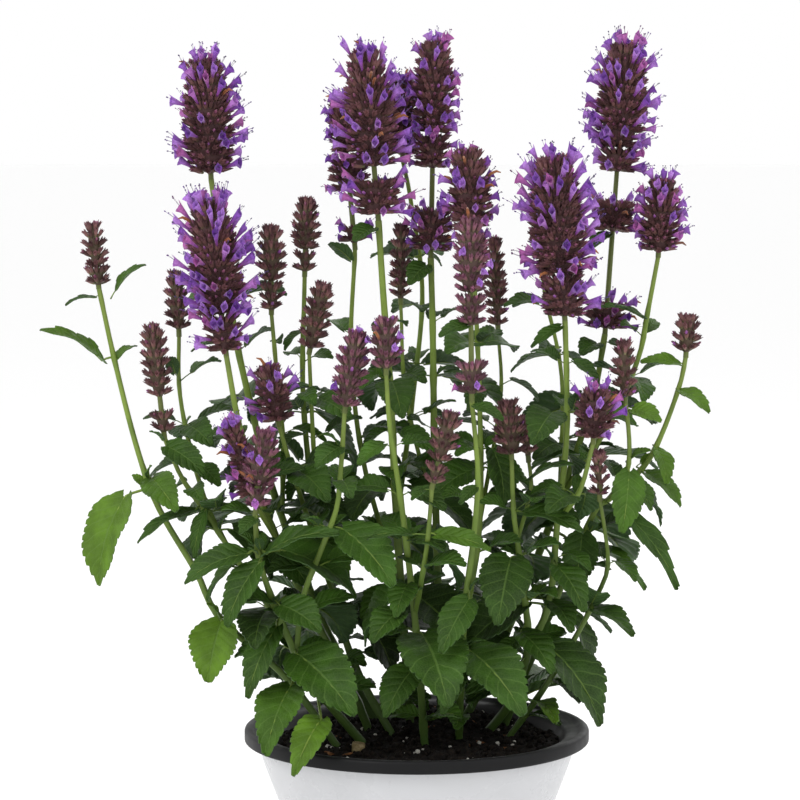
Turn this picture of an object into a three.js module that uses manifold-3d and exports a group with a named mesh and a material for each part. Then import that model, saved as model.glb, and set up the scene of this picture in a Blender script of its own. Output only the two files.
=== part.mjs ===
// A potted giant hyssop: leafy square stems with whorled flower heads, standing in
// soil in a dark liner pot whose rolled lip hangs in a white bowl-shaped outer pot.
// Millimetres, +Z up, origin at the centre of the outer pot's flat base.
// +X is the right of the plant as seen from its front, and -Y is its front.

import * as THREE from "three";
import { mergeVertices } from "three/addons/utils/BufferGeometryUtils.js";
import Module from "manifold-3d";

const wasm = await Module();
wasm.setup();

// Pot, liner and soil
const ROUND_SIDES = 24;
const POT_FOOT_RADIUS = 40;
const POT_HEEL = 3;
const POT_RIM_RADIUS = 79.6;
const POT_RIM_TOP = 84.2;
const POT_WALL = 4;
const POT_FLOOR = 8;
const LIP_RADIUS = 86;
const LIP_TOP = 88.3;
const LIP_BOTTOM = 82;
const LIP_SKIRT = 1.7;
const LINER_WALL = 1.8;
const SEAT_GAP = 0.3;
const WALL_GAP = 0.6;
const SOIL_RIM_HEIGHT = 80;
const SOIL_MOUND = { x: 6, y: 34, height: 9, spread: 34, crumb: 0.8 };
const SOIL_RINGS = [0.74, 0.4];

// The outer pot's wall line, as [height, radius] of its outside above the heel
const BOWL = [[20, 53], [40, 64], [61, 72.6], [75, 77.6]];
const LINER_FLOOR = POT_FLOOR + SEAT_GAP;
const LINER_FOOT_RADIUS = 39.5;
const LINER_NECK_RADIUS = POT_RIM_RADIUS - POT_WALL - WALL_GAP;

// The stub of a cut stem, standing in its own hole at the front left
const STUB = { x: -29, y: -24, radius: 3.4, above: 4.5 };

// Stems
const ROOT_DEPTH = 12;
const HOLE_CLEARANCE = 1.2;
const HOLE_SIDES = 5;
const STEM_STEP = 36;
const SAMPLE_STEP = 5;
const ROUTE_STEP = 1;
const OWN_FOOT = 8;

// Leaves
const BLADE_HALF_THICKNESS = 0.9;
const BLADE_ARCH = 0.35;
const BLADE_FOLD = 0.32;
const BLADE_CENTRE = 0.28;
const BLADE_TURN = 0.6;
const BLADE_FACES = { side: 0.3, front: -20 };
const PETIOLE_HALF_WIDTH = 1.1;
const ROOT_SUNK = 0.8;
const NOTCH_DEPTH = 0.2;
const TEETH = [[30, 4], [14, 3], [0, 2]];
const TEETH_SPAN = [0.05, 0.9];
const STALK_SAMPLES = [0.45, 0.75];
const SPINE_SAMPLES = [0.02, 0.13, 0.25, 0.37, 0.49, 0.61, 0.73, 0.86, 1];
const ROW_SAMPLES = [0.08, 0.2, 0.32, 0.44, 0.57, 0.7, 0.84];
const EDGE_SAMPLES = [1, 0.67, 0.34, -0.34, -0.67, -1];
const LEAF_CLEARANCE = { other: 4.4, own: 3.2, stem: 1.6, head: 1.2 };
const RIM_CLEARANCE = { radius: 92, height: 91.5 };

// Turns tried for a blade until it is clear: sideways, up or down, and size
const TURNS = [
  [0, 0, 1], [14, 0, 1], [-14, 0, 1], [0, -18, 1], [0, 16, 1], [28, -8, 0.95], [-28, -8, 0.95],
  [14, 24, 0.9], [-14, 24, 0.9], [42, 0, 0.9], [-42, 0, 0.9], [28, -30, 0.85], [-28, -30, 0.85],
  [0, 36, 0.8], [56, 8, 0.8], [-56, 8, 0.8], [0, -40, 0.75], [24, 10, 0.62], [-24, 10, 0.62],
  [0, 0, 0.55],
];

// Leaf pairs go from low leaves to high ones between two heights, with a drawn spread
const PAIR_SEED = 77;
const LOW_LEAF = { at: 110, length: 52, petiole: 12, rise: -44 };
const HIGH_LEAF = { at: 300, length: 30, petiole: 5, rise: -14 };
const PAIR_SPREAD = { heading: 30, rise: 36, length: 0.3 };
const PAIR_CLEAR_OF_HEAD = 8;
const STALK_RISE = 0.12;
const LEAF_SLENDERNESS = 0.66;

// Flower heads
const RACHIS_RADIUS = 1.4;
const LARGE_REACH = 12;
const ROW_STEP = { large: 8.8, small: 9.2 };
const CALYX_LIFT = 2.4;
const TIP_EVERY = 3;
const VALLEY = 0.56;
const HEAD_GAP = 0.45;
const WHORL_MARGIN = 0.02;
const COROLLA = { mouth: 2.9, sides: 3, seed: 1000, spike: [0.1, 0.9], whorl: [0.3, 0.7], start: 0.3 };
const GOLDEN_ANGLE = Math.PI * (3 - Math.sqrt(5));
const BUD_COROLLAS = 3;

// Corners closer than this are brought together once a node's solids are joined
const JOIN_TOLERANCE = 0.2;

const DRAW = { factor: 1664525, step: 1013904223, range: 4294967296 };

const COLOURS = {
  white: { color: 0xe9e9e6, roughness: 0.3, metalness: 0 },
  black: { color: 0x1d1f21, roughness: 0.45, metalness: 0 },
  peat: { color: 0x2a211b, roughness: 0.95, metalness: 0 },
  leaf: { color: 0x4f7a33, roughness: 0.6, metalness: 0 },
  bloom: { color: 0x5a4a86, roughness: 0.7, metalness: 0 },
  bud: { color: 0x6d4a5c, roughness: 0.75, metalness: 0 },
  straw: { color: 0x8a7350, roughness: 0.9, metalness: 0 },
};

// Each stem: the shoot it belongs to, its name, its width at the root and at the head,
// its route in millimetres, and its leaf pairs. A route's last point is the tip of the
// flower head that the stem carries and the point before it is that head's foot.
const STEMS = [
  {
    shoot: "far_left", name: "far_left", width: [3.8, 2.2],
    route: [[-40, -16, 82], [-65, -20, 117], [-97, -15, 145], [-109, -12, 168], [-125, -8, 194],
      [-133, -6, 212], [-141, -4, 238], [-150, -2, 275], [-157, 0, 308], [-160, 0, 339]],
  },
  {
    shoot: "left_low", name: "left_low", width: [4.5, 2.3],
    route: [[-26, -8, 80], [-52, -24, 115], [-59, -28, 129], [-71, -38, 160], [-77, -42, 181],
      [-78, -44, 201], [-73, -46, 241]],
    pairs: { from: 22, to: 150, step: 55, turn: 20, size: 1.05 },
  },
  {
    shoot: "left_low", name: "left_outer", width: [3.1, 2.2],
    route: [[-59, -28, 129], [-75, -20, 155], [-94, -14, 182], [-106, -12, 200], [-116, -12, 215],
      [-124, -14, 235], [-130, -14, 290]],
    pairs: { from: 26, to: 110, step: 48, turn: 70, size: 0.85 },
  },
  {
    shoot: "left_low", name: "left_back", width: [2.5, 2],
    route: [[-94, -14, 182], [-104, -4, 200], [-113, 2, 230], [-118, 6, 257], [-118, 6, 284],
      [-119, 6, 315]],
    pairs: { from: 18, to: 90, step: 46, turn: 10, size: 0.62 },
  },
  {
    shoot: "left_low", name: "left_inner", width: [3.1, 2.2],
    route: [[-59, -28, 129], [-56, -36, 157], [-46, -40, 184], [-39, -42, 203], [-37, -40, 221],
      [-35, -38, 250], [-29, -36, 288]],
    pairs: { from: 24, to: 84, step: 44, turn: 60, size: 0.9 },
  },
  {
    shoot: "left_tall", name: "left_tall", width: [4.5, 2.7],
    route: [[-23, 18, 80], [-33, 15, 104], [-58, 5, 156], [-77, -8, 203], [-87, -18, 241],
      [-93, -22, 276], [-102, -24, 355]],
    pairs: { from: 30, to: 200, step: 52, turn: 35, size: 1 },
  },
  {
    shoot: "left_tall", name: "left_low_side", width: [2.7, 2],
    route: [[-63, 2, 167], [-70, -16, 186], [-80, -30, 206], [-91, -38, 248]],
    pairs: { from: 20, to: 40, step: 41, turn: 80, size: 0.75 },
  },
  {
    shoot: "left_tallest", name: "left_tallest", width: [4.5, 2.9],
    route: [[-19, 34, 81], [-44, 34, 127], [-71, 26, 199], [-86, 18, 260], [-92, 16, 292],
      [-102, 12, 361], [-105, 8, 424]],
    pairs: { from: 34, to: 262, step: 55, turn: 5, size: 1.05 },
  },
  {
    shoot: "left_tallest", name: "left_tall_side", width: [2.7, 2],
    route: [[-68, 28, 189], [-67, 14, 231], [-70, 4, 271], [-72, 4, 295], [-72, 4, 338]],
    pairs: { from: 24, to: 100, step: 46, turn: 55, size: 0.75 },
  },
  {
    shoot: "mid_left", name: "mid_left", width: [4.3, 2.3],
    route: [[-11, 6, 80], [-34, 14, 124], [-50, 20, 189], [-57, 24, 250], [-56, 20, 313],
      [-55, 20, 351]],
    pairs: { from: 32, to: 214, step: 52, turn: 75, size: 0.95 },
  },
  {
    shoot: "mid_left", name: "mid_left_low", width: [2.7, 2.2],
    route: [[-43, 16, 155], [-60, -4, 212], [-68, -12, 241], [-74, -14, 274]],
    pairs: { from: 26, to: 84, step: 44, turn: 20, size: 0.8 },
  },
  {
    shoot: "mid_left", name: "mid_left_side", width: [2.5, 2],
    route: [[-50, 20, 189], [-52, 4, 242], [-53, -6, 276], [-46, -8, 310]],
    pairs: { from: 24, to: 80, step: 44, turn: 50, size: 0.7 },
  },
  {
    shoot: "centre_tall", name: "centre_tall", width: [4.6, 3.2],
    route: [[-3, 17, 82], [-6, 15, 129], [-10, 8, 191], [-13, 2, 252], [-17, 0, 310],
      [-19, 0, 341], [-26, 0, 428]],
    pairs: { from: 30, to: 222, step: 54, turn: 15, size: 1 },
  },
  {
    shoot: "centre_tall", name: "centre_tall_back", width: [2.9, 2.2],
    route: [[-10, 8, 191], [-2, 40, 248], [3, 45, 303], [-3, 45, 350], [-7, 45, 370],
      [-7, 42, 414]],
    pairs: { from: 30, to: 150, step: 55, turn: 60, size: 0.8 },
  },
  {
    shoot: "centre_tall", name: "centre_tall_side", width: [2.9, 2.2],
    route: [[-8, 12, 155], [-26, 28, 214], [-33, 32, 270], [-31, 31, 326], [-38, 31, 404]],
    pairs: { from: 30, to: 130, step: 52, turn: 40, size: 0.85 },
  },
  {
    shoot: "centre_front", name: "centre_front", width: [4.3, 2.2],
    route: [[4, -12, 80], [0, -25, 136], [-7, -40, 200], [-13, -44, 241], [-15, -44, 269],
      [-15, -44, 295]],
    pairs: { from: 26, to: 172, step: 49, turn: 30, size: 0.95 },
  },
  {
    shoot: "centre_front", name: "centre_low", width: [2.7, 2],
    route: [[-1, -28, 150], [2, -42, 168], [5, -52, 190], [7, -54, 215], [16, -54, 251]],
    pairs: { from: 14, to: 40, step: 35, turn: 0, size: 0.9 },
  },
  {
    shoot: "centre_right_tall", name: "centre_right_tall", width: [4.5, 3.1],
    route: [[13, 24, 82], [11, 24, 148], [9, 22, 225], [8, 20, 287], [7, 18, 322], [9, 18, 433]],
    pairs: { from: 30, to: 212, step: 54, turn: 65, size: 1 },
  },
  {
    shoot: "centre_right_tall", name: "centre_bud", width: [2.5, 1.8],
    route: [[10, 24, 189], [-5, 20, 250], [-8, 20, 299], [-8, 20, 338]],
    pairs: { from: 30, to: 100, step: 48, turn: 25, size: 0.6 },
  },
  {
    shoot: "front_bud", name: "front_bud", width: [4.3, 2.2],
    route: [[21, 0, 80], [22, -30, 132], [24, -42, 163], [27, -48, 189], [29, -50, 216],
      [28, -50, 235], [26, -49, 256], [25, -46, 343]],
    pairs: { from: 28, to: 86, step: 46, turn: 10, size: 1 },
  },
  {
    shoot: "front_bud", name: "front_bud_back", width: [3.1, 2.3],
    route: [[24, -38, 150], [31, -14, 193], [31, -4, 251], [28, -5, 317], [24, -6, 380]],
    pairs: { from: 34, to: 150, step: 52, turn: 50, size: 0.85 },
  },
  {
    shoot: "front_bud", name: "front_bud_side", width: [2.3, 1.8],
    route: [[31, -14, 193], [42, 20, 250], [41, 28, 285], [39, 27, 331]],
    pairs: { from: 30, to: 84, step: 46, turn: 20, size: 0.7 },
  },
  {
    shoot: "right_front", name: "right_front", width: [4.5, 2.2],
    route: [[34, 14, 80], [47, 4, 100], [55, -8, 128], [53, -18, 156], [49, -24, 185],
      [47, -26, 201], [46, -26, 226], [44, -26, 254]],
    pairs: { from: 24, to: 140, step: 49, turn: 60, size: 0.95 },
  },
  {
    shoot: "right_front", name: "right_front_side", width: [2.2, 1.8],
    route: [[49, -24, 185], [56, -14, 208], [55, -10, 223], [53, -8, 244]],
    pairs: { from: 18, to: 30, step: 41, turn: 0, size: 0.6 },
  },
  {
    shoot: "right_front", name: "right_mid_tall", width: [3.6, 2.5],
    route: [[55, -8, 128], [65, -14, 152], [69, -18, 194], [73, -20, 234], [73, -20, 263],
      [72, -20, 293], [65, -22, 376]],
    pairs: { from: 26, to: 156, step: 49, turn: 15, size: 0.95 },
  },
  {
    shoot: "right_front", name: "right_mid_low", width: [2.5, 2],
    route: [[69, -18, 194], [79, -30, 210], [85, -38, 235], [86, -40, 265]],
    pairs: { from: 20, to: 40, step: 37, turn: 45, size: 0.7 },
  },
  {
    shoot: "right_tall", name: "right_tall", width: [4.6, 2.9],
    route: [[23, 40, 80], [45, 42, 125], [73, 38, 198], [89, 32, 249], [95, 30, 283],
      [105, 30, 432]],
    pairs: { from: 34, to: 205, step: 54, turn: 45, size: 1.05 },
  },
  {
    shoot: "right_tall", name: "right_tall_side", width: [2.9, 2.2],
    route: [[73, 38, 198], [98, 26, 239], [111, 20, 271], [115, 16, 293], [120, 12, 323],
      [122, 12, 365]],
    pairs: { from: 28, to: 94, step: 47, turn: 10, size: 0.8 },
  },
  {
    shoot: "right_tall", name: "right_thin", width: [2.5, 1.8],
    route: [[73, 38, 198], [73, 24, 260], [64, 16, 303], [62, 14, 320], [60, 14, 353]],
    pairs: { from: 30, to: 96, step: 47, turn: 80, size: 0.7 },
  },
  {
    shoot: "far_right", name: "far_right", width: [4.3, 2],
    route: [[44, 28, 81], [62, 20, 129], [87, 2, 193], [94, 0, 201], [112, 0, 218], [121, 0, 234],
      [130, 0, 259], [133, 0, 274], [134, 0, 294]],
    pairs: { from: 30, to: 128, step: 49, turn: 70, size: 1 },
  },
  {
    shoot: "far_right", name: "far_right_low", width: [2.5, 2],
    route: [[94, 0, 201], [100, -16, 212], [103, -26, 222], [103, -28, 237], [101, -28, 254],
      [100, -28, 283]],
    pairs: { from: 20, to: 30, step: 41, turn: 30, size: 0.7 },
  },
  {
    shoot: "right_small", name: "right_small", width: [3.1, 1.8],
    route: [[46, 2, 82], [62, -4, 106], [78, -7, 133], [88, -12, 154], [94, -14, 170], [92, -20, 190],
      [89, -28, 206], [88, -32, 230]],
    pairs: { from: 24, to: 110, step: 47, turn: 30, size: 0.8 },
  },
];

// Each head: its stem, its reach with open corollas, and its whorls from the foot up as
// [from, to, calyx radius] in fractions of its length. The last one is the dense spike.
const HEADS = {
  far_left: { reach: 7.5, whorls: [[0, 0.25, 6.4], [0.27, 1, 6.4]], corollas: 1, sides: 9 },
  left_low: { reach: 9, whorls: [[0.02, 0.3, 6.5], [0.3, 1, 8.6]], corollas: 1, sides: 9 },
  left_outer: { reach: 9.5, whorls: [[0.02, 0.2, 6.2], [0.34, 1, 7.5]], corollas: 3, sides: 9 },
  left_back: { reach: 7.5, whorls: [[0.04, 1, 7]], corollas: 1, sides: 9 },
  left_inner: { reach: 9.5, whorls: [[0.02, 1, 8.4]], corollas: 2, sides: 9 },
  left_tall: { reach: 23.5, whorls: [[0.01, 0.22, 9.5], [0.24, 1, 13]], corollas: 14, sides: 12 },
  left_low_side: { reach: 11, whorls: [[0.03, 1, 6.8]], corollas: 4, sides: 9 },
  left_tallest: { reach: 21.5, whorls: [[0.03, 1, 13]], corollas: 11, sides: 12 },
  left_tall_side: { reach: 9, whorls: [[0, 0.3, 6], [0.33, 1, 7.8]], corollas: 2, sides: 9 },
  mid_left: { reach: 8.5, whorls: [[0, 0.28, 6], [0.3, 1, 7.4]], corollas: 2, sides: 9 },
  mid_left_low: { reach: 16, whorls: [[0.02, 1, 9]], corollas: 6, sides: 9 },
  mid_left_side: { reach: 8.5, whorls: [[0.02, 1, 7.6]], corollas: 1, sides: 9 },
  centre_tall: { reach: 22.5, whorls: [[0.02, 0.2, 11.5], [0.29, 1, 13]], corollas: 14, sides: 12 },
  centre_tall_back: { reach: 13.5, whorls: [[0.03, 1, 10]], corollas: 5, sides: 9 },
  centre_tall_side: {
    reach: 13, whorls: [[0.02, 0.12, 7.5], [0.36, 0.56, 10.5], [0.6, 1, 9]], corollas: 5, sides: 9,
  },
  centre_front: { reach: 9, whorls: [[0.02, 1, 8.2]], corollas: 2, sides: 9 },
  centre_low: { reach: 8, whorls: [[0.02, 0.26, 6], [0.3, 1, 7.2]], corollas: 1, sides: 9 },
  centre_right_tall: {
    reach: 16, whorls: [[0.02, 0.2, 10.5], [0.39, 0.53, 9.5], [0.55, 1, 11]], corollas: 10, sides: 12,
  },
  centre_bud: { reach: 7, whorls: [[0.02, 1, 6]], corollas: 0, sides: 9 },
  front_bud: {
    reach: 9, whorls: [[0.02, 0.2, 7.6], [0.4, 0.56, 7.4], [0.58, 1, 8.6]], corollas: 3, sides: 9,
  },
  front_bud_back: { reach: 16.5, whorls: [[0.02, 0.2, 8], [0.3, 1, 11]], corollas: 7, sides: 9 },
  front_bud_side: { reach: 6.8, whorls: [[0.02, 1, 6]], corollas: 0, sides: 9 },
  right_front: { reach: 9.5, whorls: [[0.02, 1, 8.6]], corollas: 2, sides: 9 },
  right_front_side: { reach: 6, whorls: [[0.04, 1, 5.2]], corollas: 0, sides: 9 },
  right_mid_tall: { reach: 24, whorls: [[0.01, 0.24, 11], [0.26, 1, 14]], corollas: 15, sides: 12 },
  right_mid_low: { reach: 17.5, whorls: [[0.03, 1, 10]], corollas: 7, sides: 9 },
  right_tall: {
    reach: 21, whorls: [[0.01, 0.09, 11.5], [0.34, 0.43, 11], [0.54, 0.61, 10], [0.62, 1, 13]],
    corollas: 14, sides: 12,
  },
  right_tall_side: { reach: 16.5, whorls: [[0.02, 1, 10.5]], corollas: 7, sides: 9 },
  right_thin: { reach: 7, whorls: [[0.02, 1, 6.2]], corollas: 1, sides: 9 },
  far_right: { reach: 8.5, whorls: [[0.02, 1, 7.4]], corollas: 2, sides: 9 },
  far_right_low: { reach: 7.5, whorls: [[0.02, 1, 6.6]], corollas: 1, sides: 9 },
  right_small: { reach: 5.5, whorls: [[0.05, 1, 4.6]], corollas: 0, sides: 9 },
};

// Single leaves that show: what they grow from (a shoot or a head), where the blade
// starts, where its tip is, and its width.
const LEAVES = [
  ["stems_far_left", [-144, -8, 205], [-157, -20, 162], 27],
  ["stems_far_left", [-155, -4, 272], [-184, -14, 289], 12],
  ["stems_far_left", [-148, -3, 273], [-139, 6, 279], 7],
  ["stems_far_left", [-131, -8, 214], [-105, -24, 205], 18],
  ["stems_far_left", [-96, -22, 145], [-102, -36, 117], 25],
  ["stems_far_left", [-159, -2, 303], [-173, -8, 300], 6],
  ["stems_left_low", [-109, -16, 199], [-137, -28, 185], 10],
  ["stems_left_low", [-104, -20, 199], [-114, -30, 180], 8],
  ["stems_left_low", [-82, -48, 182], [-112, -58, 170], 18],
  ["stems_left_low", [-73, -47, 182], [-38, -60, 195], 15],
  ["stems_left_low", [-81, -35, 181], [-103, -34, 157], 14],
  ["stems_left_low", [-76, -52, 178], [-92, -62, 149], 17],
  ["stems_left_low", [-66, -48, 157], [-46, -62, 147], 20],
  ["stems_left_low", [-68, -44, 146], [-82, -60, 114], 16],
  ["stems_left_low", [-61, -44, 117], [-72, -84, 92], 23],
  ["stems_left_low", [-46, -62, 104], [-58, -98, 86], 17],
  ["stems_left_low", [-37, -42, 233], [-49, -50, 224], 14],
  ["stems_left_low", [-123, -18, 231], [-103, -28, 218], 15],
  ["stems_left_low", [-78, -48, 199], [-85, -56, 193], 9],
  ["stems_left_tall", [-33, 6, 116], [-51, -10, 108], 17],
  ["stems_mid_left", [-57, 17, 285], [-66, 9, 276], 9],
  ["stems_centre_front", [-2, -32, 123], [-16, -50, 103], 19],
  ["stems_centre_front", [-8, -46, 154], [-22, -62, 142], 17],
  ["stems_centre_front", [3, -56, 214], [-3, -62, 210], 6],
  ["stems_centre_front", [-3, -52, 192], [-24, -62, 192], 7],
  ["stems_centre_front", [9, -54, 192], [35, -66, 187], 11],
  ["stems_front_bud", [21, -36, 128], [12, -54, 105], 15],
  ["stems_front_bud", [25, -48, 160], [11, -66, 137], 17],
  ["stems_front_bud", [27, -53, 254], [41, -60, 248], 8],
  ["stems_front_bud", [28, -54, 215], [20, -62, 208], 7],
  ["stems_right_front", [51, -20, 139], [66, -42, 123], 17],
  ["stems_right_front", [68, -26, 173], [81, -46, 154], 17],
  ["stems_right_front", [55, -20, 215], [76, -32, 224], 9],
  ["stems_right_front", [51, -32, 200], [80, -50, 193], 13],
  ["stems_right_front", [49, -20, 121], [24, -46, 115], 15],
  ["stems_right_front", [70, -23, 290], [53, -30, 286], 7],
  ["stems_right_small", [82, -8, 149], [106, -32, 140], 17],
  ["stems_right_small", [58, -2, 101], [68, -36, 98], 13],
  ["stems_right_tall", [78, 28, 178], [116, 8, 158], 23],
  ["stems_right_tall", [113, 14, 292], [89, 8, 298], 8],
  ["stems_right_tall", [62, 11, 300], [43, 4, 299], 11],
  ["stems_far_right", [97, -20, 202], [128, -34, 163], 13],
  ["stems_far_right", [54, 16, 101], [81, -14, 109], 20],
  ["stems_far_right", [103, -31, 220], [99, -42, 191], 17],
  ["stems_far_right", [130, -3, 257], [144, -12, 247], 11],
  ["stems_far_right", [119, -3, 228], [123, -16, 212], 11],
  ["stems_far_right", [113, -2, 216], [129, -12, 200], 14],
  ["stems_far_right", [104, -29, 250], [118, -37, 245], 12],
  ["stems_far_right", [130, -1, 270], [110, -8, 272], 8],
  ["stems_right_tall", [91, 28, 278], [82, 18, 273], 13],
  ["stems_right_tall", [98, 28, 278], [107, 18, 272], 12],
  ["head_right_tall", [97, 28, 333], [85, 20, 325], 9],
  ["stems_centre_right_tall", [5, 15, 318], [-4, 5, 309], 13],
  ["stems_centre_tall", [-21, -3, 337], [-31, -12, 331], 13],
  ["stems_centre_tall", [-33, 28, 320], [-44, 19, 329], 8],
  ["head_front_bud", [24, -50, 292], [10, -58, 288], 9],
];

// A repeatable source of draws between 0 and 1
function draws(seed) {
  let state = seed;
  return () => {
    state = (state * DRAW.factor + DRAW.step) % DRAW.range;
    return state / DRAW.range;
  };
}

const vector = (point) => new THREE.Vector3(...point);
const UP = new THREE.Vector3(0, 0, 1);

// Moves every corner of a shape to where a rule puts it
function reshape(geometry, rule) {
  const position = geometry.attributes.position;
  const corner = new THREE.Vector3();
  for (let i = 0; i < position.count; i += 1) {
    corner.fromBufferAttribute(position, i);
    const moved = rule(corner, i);
    position.setXYZ(i, moved.x, moved.y, moved.z);
  }
  return geometry;
}

function toSolid(geometry) {
  const bare = geometry.clone();
  bare.deleteAttribute("normal");
  bare.deleteAttribute("uv");
  const merged = mergeVertices(bare, 1e-4);
  const source = merged.index.array;
  const corners = [];
  for (let i = 0; i < source.length; i += 3) {
    const [a, b, c] = [source[i], source[i + 1], source[i + 2]];
    if (a !== b && b !== c && c !== a) {
      corners.push(a, b, c);
    }
  }
  const mesh = new wasm.Mesh({
    numProp: 3,
    vertProperties: new Float32Array(merged.attributes.position.array),
    triVerts: new Uint32Array(corners),
  });
  return new wasm.Manifold(mesh);
}

function toGeometry(solid) {
  const mesh = solid.getMesh();
  const geometry = new THREE.BufferGeometry();
  geometry.setAttribute("position", new THREE.BufferAttribute(mesh.vertProperties, 3));
  geometry.setIndex(new THREE.BufferAttribute(mesh.triVerts, 1));
  return geometry;
}

// Joins a node's solids into one body, without the crumbs that joining can leave behind
function joined(solids) {
  const whole = solids.reduce((sum, piece) => sum.add(piece)).asOriginal().simplify(JOIN_TOLERANCE);
  return whole.decompose().reduce((largest, body) => (
    body.volume() > largest.volume() ? body : largest
  ));
}

// A solid of revolution about Z from a profile of [radius, height] points
function turned(profile) {
  const points = profile.map(([radius, height]) => new THREE.Vector2(radius, height));
  return new THREE.LatheGeometry(points, ROUND_SIDES).rotateX(Math.PI / 2);
}

function outerPotSolid() {
  const outside = BOWL.map(([height, radius]) => [radius, height]);
  const inside = outside.map(([radius, height]) => [radius - POT_WALL, height]).reverse();
  return turned([
    [0, 0], [POT_FOOT_RADIUS, 0], [POT_FOOT_RADIUS + POT_HEEL, POT_HEEL], ...outside,
    [POT_RIM_RADIUS, POT_RIM_TOP], [POT_RIM_RADIUS - POT_WALL, POT_RIM_TOP], ...inside,
    [POT_FOOT_RADIUS + POT_HEEL - POT_WALL + 2, POT_FLOOR], [0, POT_FLOOR],
  ]);
}

// The liner is a plain taper inside the bowl, hung from the outer pot's rim by its lip
function linerSolid() {
  const underLip = POT_RIM_TOP + SEAT_GAP;
  const skirtRadius = LIP_RADIUS - LIP_SKIRT;
  return turned([
    [0, LINER_FLOOR], [LINER_FOOT_RADIUS, LINER_FLOOR], [LINER_NECK_RADIUS, underLip],
    [skirtRadius, underLip], [skirtRadius, LIP_BOTTOM],
    [LIP_RADIUS, LIP_BOTTOM], [LIP_RADIUS, LIP_TOP - 1.4], [LIP_RADIUS - 1.2, LIP_TOP],
    [LIP_RADIUS - 3.4, LIP_TOP], [LIP_RADIUS - 4.6, LIP_TOP - 1],
    [LINER_NECK_RADIUS + 1, underLip + LINER_WALL], [LINER_NECK_RADIUS - LINER_WALL, underLip - 1],
    [LINER_FOOT_RADIUS - LINER_WALL, LINER_FLOOR + LINER_WALL],
    [0, LINER_FLOOR + LINER_WALL],
  ]);
}

function soilHeight(x, y) {
  const away = Math.hypot(x - SOIL_MOUND.x, y - SOIL_MOUND.y) / SOIL_MOUND.spread;
  const crumb = Math.sin(x * 0.31 + 1) * Math.cos(y * 0.27) + 0.6 * Math.sin((x + y) * 0.19);
  return SOIL_RIM_HEIGHT + SOIL_MOUND.height * Math.exp(-away * away) + SOIL_MOUND.crumb * crumb;
}

function soilSolid() {
  const floor = LINER_FLOOR + LINER_WALL + SEAT_GAP;
  const footRadius = LINER_FOOT_RADIUS - LINER_WALL - SEAT_GAP;
  const innerHeight = POT_RIM_TOP + SEAT_GAP - 1 - LINER_FLOOR - LINER_WALL;
  const taper = (LINER_NECK_RADIUS - LINER_FOOT_RADIUS) / innerHeight;
  const edgeRadius = footRadius - 0.4 + taper * (SOIL_RIM_HEIGHT - floor);
  const topRings = SOIL_RINGS.map((share) => [edgeRadius * share, SOIL_RIM_HEIGHT]);
  const geometry = turned([
    [0, floor], [footRadius - 0.4, floor], [edgeRadius, SOIL_RIM_HEIGHT], ...topRings,
    [0, SOIL_RIM_HEIGHT],
  ]);
  reshape(geometry, (corner) => {
    const onTop = corner.z > floor + 1 && Math.hypot(corner.x, corner.y) < edgeRadius - 1;
    return onTop ? new THREE.Vector3(corner.x, corner.y, soilHeight(corner.x, corner.y)) : corner;
  });
  return toSolid(geometry);
}

const isRooted = (stem) => STEMS.find((other) => other.shoot === stem.shoot) === stem;

function rootDirection(stem) {
  return vector(stem.route[0]).sub(vector(stem.route[1])).normalize();
}

// A stem's curve, from its root in the soil (or its fork) to just under its head
function stemCurve(stem) {
  const points = stem.route.slice(0, -1).map(vector);
  const head = vector(stem.route[stem.route.length - 1]);
  const foot = points[points.length - 1];
  foot.addScaledVector(head.sub(foot).normalize(), -HEAD_GAP);
  if (isRooted(stem)) {
    points.unshift(points[0].clone().addScaledVector(rootDirection(stem), ROOT_DEPTH));
  }
  return new THREE.CatmullRomCurve3(points, false, "catmullrom", 0.5);
}

const stemSteps = (curve) => Math.max(3, Math.round(curve.getLength() / STEM_STEP));

// Points along a stem's straight stretches, no further apart than a spacing
function stemPoints(stem, spacing) {
  const curve = stemCurve(stem);
  const stations = curve.getSpacedPoints(stemSteps(curve));
  const points = [stations[0]];
  for (let k = 1; k < stations.length; k += 1) {
    const count = Math.ceil(stations[k].distanceTo(stations[k - 1]) / spacing);
    for (let j = 1; j <= count; j += 1) {
      points.push(stations[k - 1].clone().lerp(stations[k], j / count));
    }
  }
  return points;
}

// A square stem swept along its route and thinned towards the head
function stemSolid(stem) {
  const curve = stemCurve(stem);
  const steps = stemSteps(curve);
  const half = stem.width[0] / 2;
  const section = new THREE.Shape([
    new THREE.Vector2(-half, -half), new THREE.Vector2(half, -half),
    new THREE.Vector2(half, half), new THREE.Vector2(-half, half),
  ]);
  const geometry = new THREE.ExtrudeGeometry(section, { steps, extrudePath: curve });
  const stations = curve.getSpacedPoints(steps);
  reshape(geometry, (corner) => {
    let nearest = 0;
    stations.forEach((station, k) => {
      if (station.distanceTo(corner) < stations[nearest].distanceTo(corner)) {
        nearest = k;
      }
    });
    const thin = THREE.MathUtils.lerp(1, stem.width[1] / stem.width[0], nearest / steps);
    return corner.sub(stations[nearest]).multiplyScalar(thin).add(stations[nearest]);
  });
  return toSolid(geometry);
}

// The plain round hole that a rooted stem stands in
function rootHole(stem) {
  const radius = (stem.width[0] / 2) * Math.SQRT2 + HOLE_CLEARANCE;
  const down = rootDirection(stem);
  const length = ROOT_DEPTH + SEAT_GAP + 24;
  const geometry = new THREE.CylinderGeometry(radius, radius, length, HOLE_SIDES);
  geometry.applyQuaternion(new THREE.Quaternion().setFromUnitVectors(vector([0, 1, 0]), down));
  const middle = ROOT_DEPTH + SEAT_GAP - length / 2;
  const centre = vector(stem.route[0]).addScaledVector(down, middle);
  return toSolid(geometry.translate(centre.x, centre.y, centre.z));
}

// Points that stand for the plant's pieces while leaves are being placed
const occupied = [];

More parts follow.
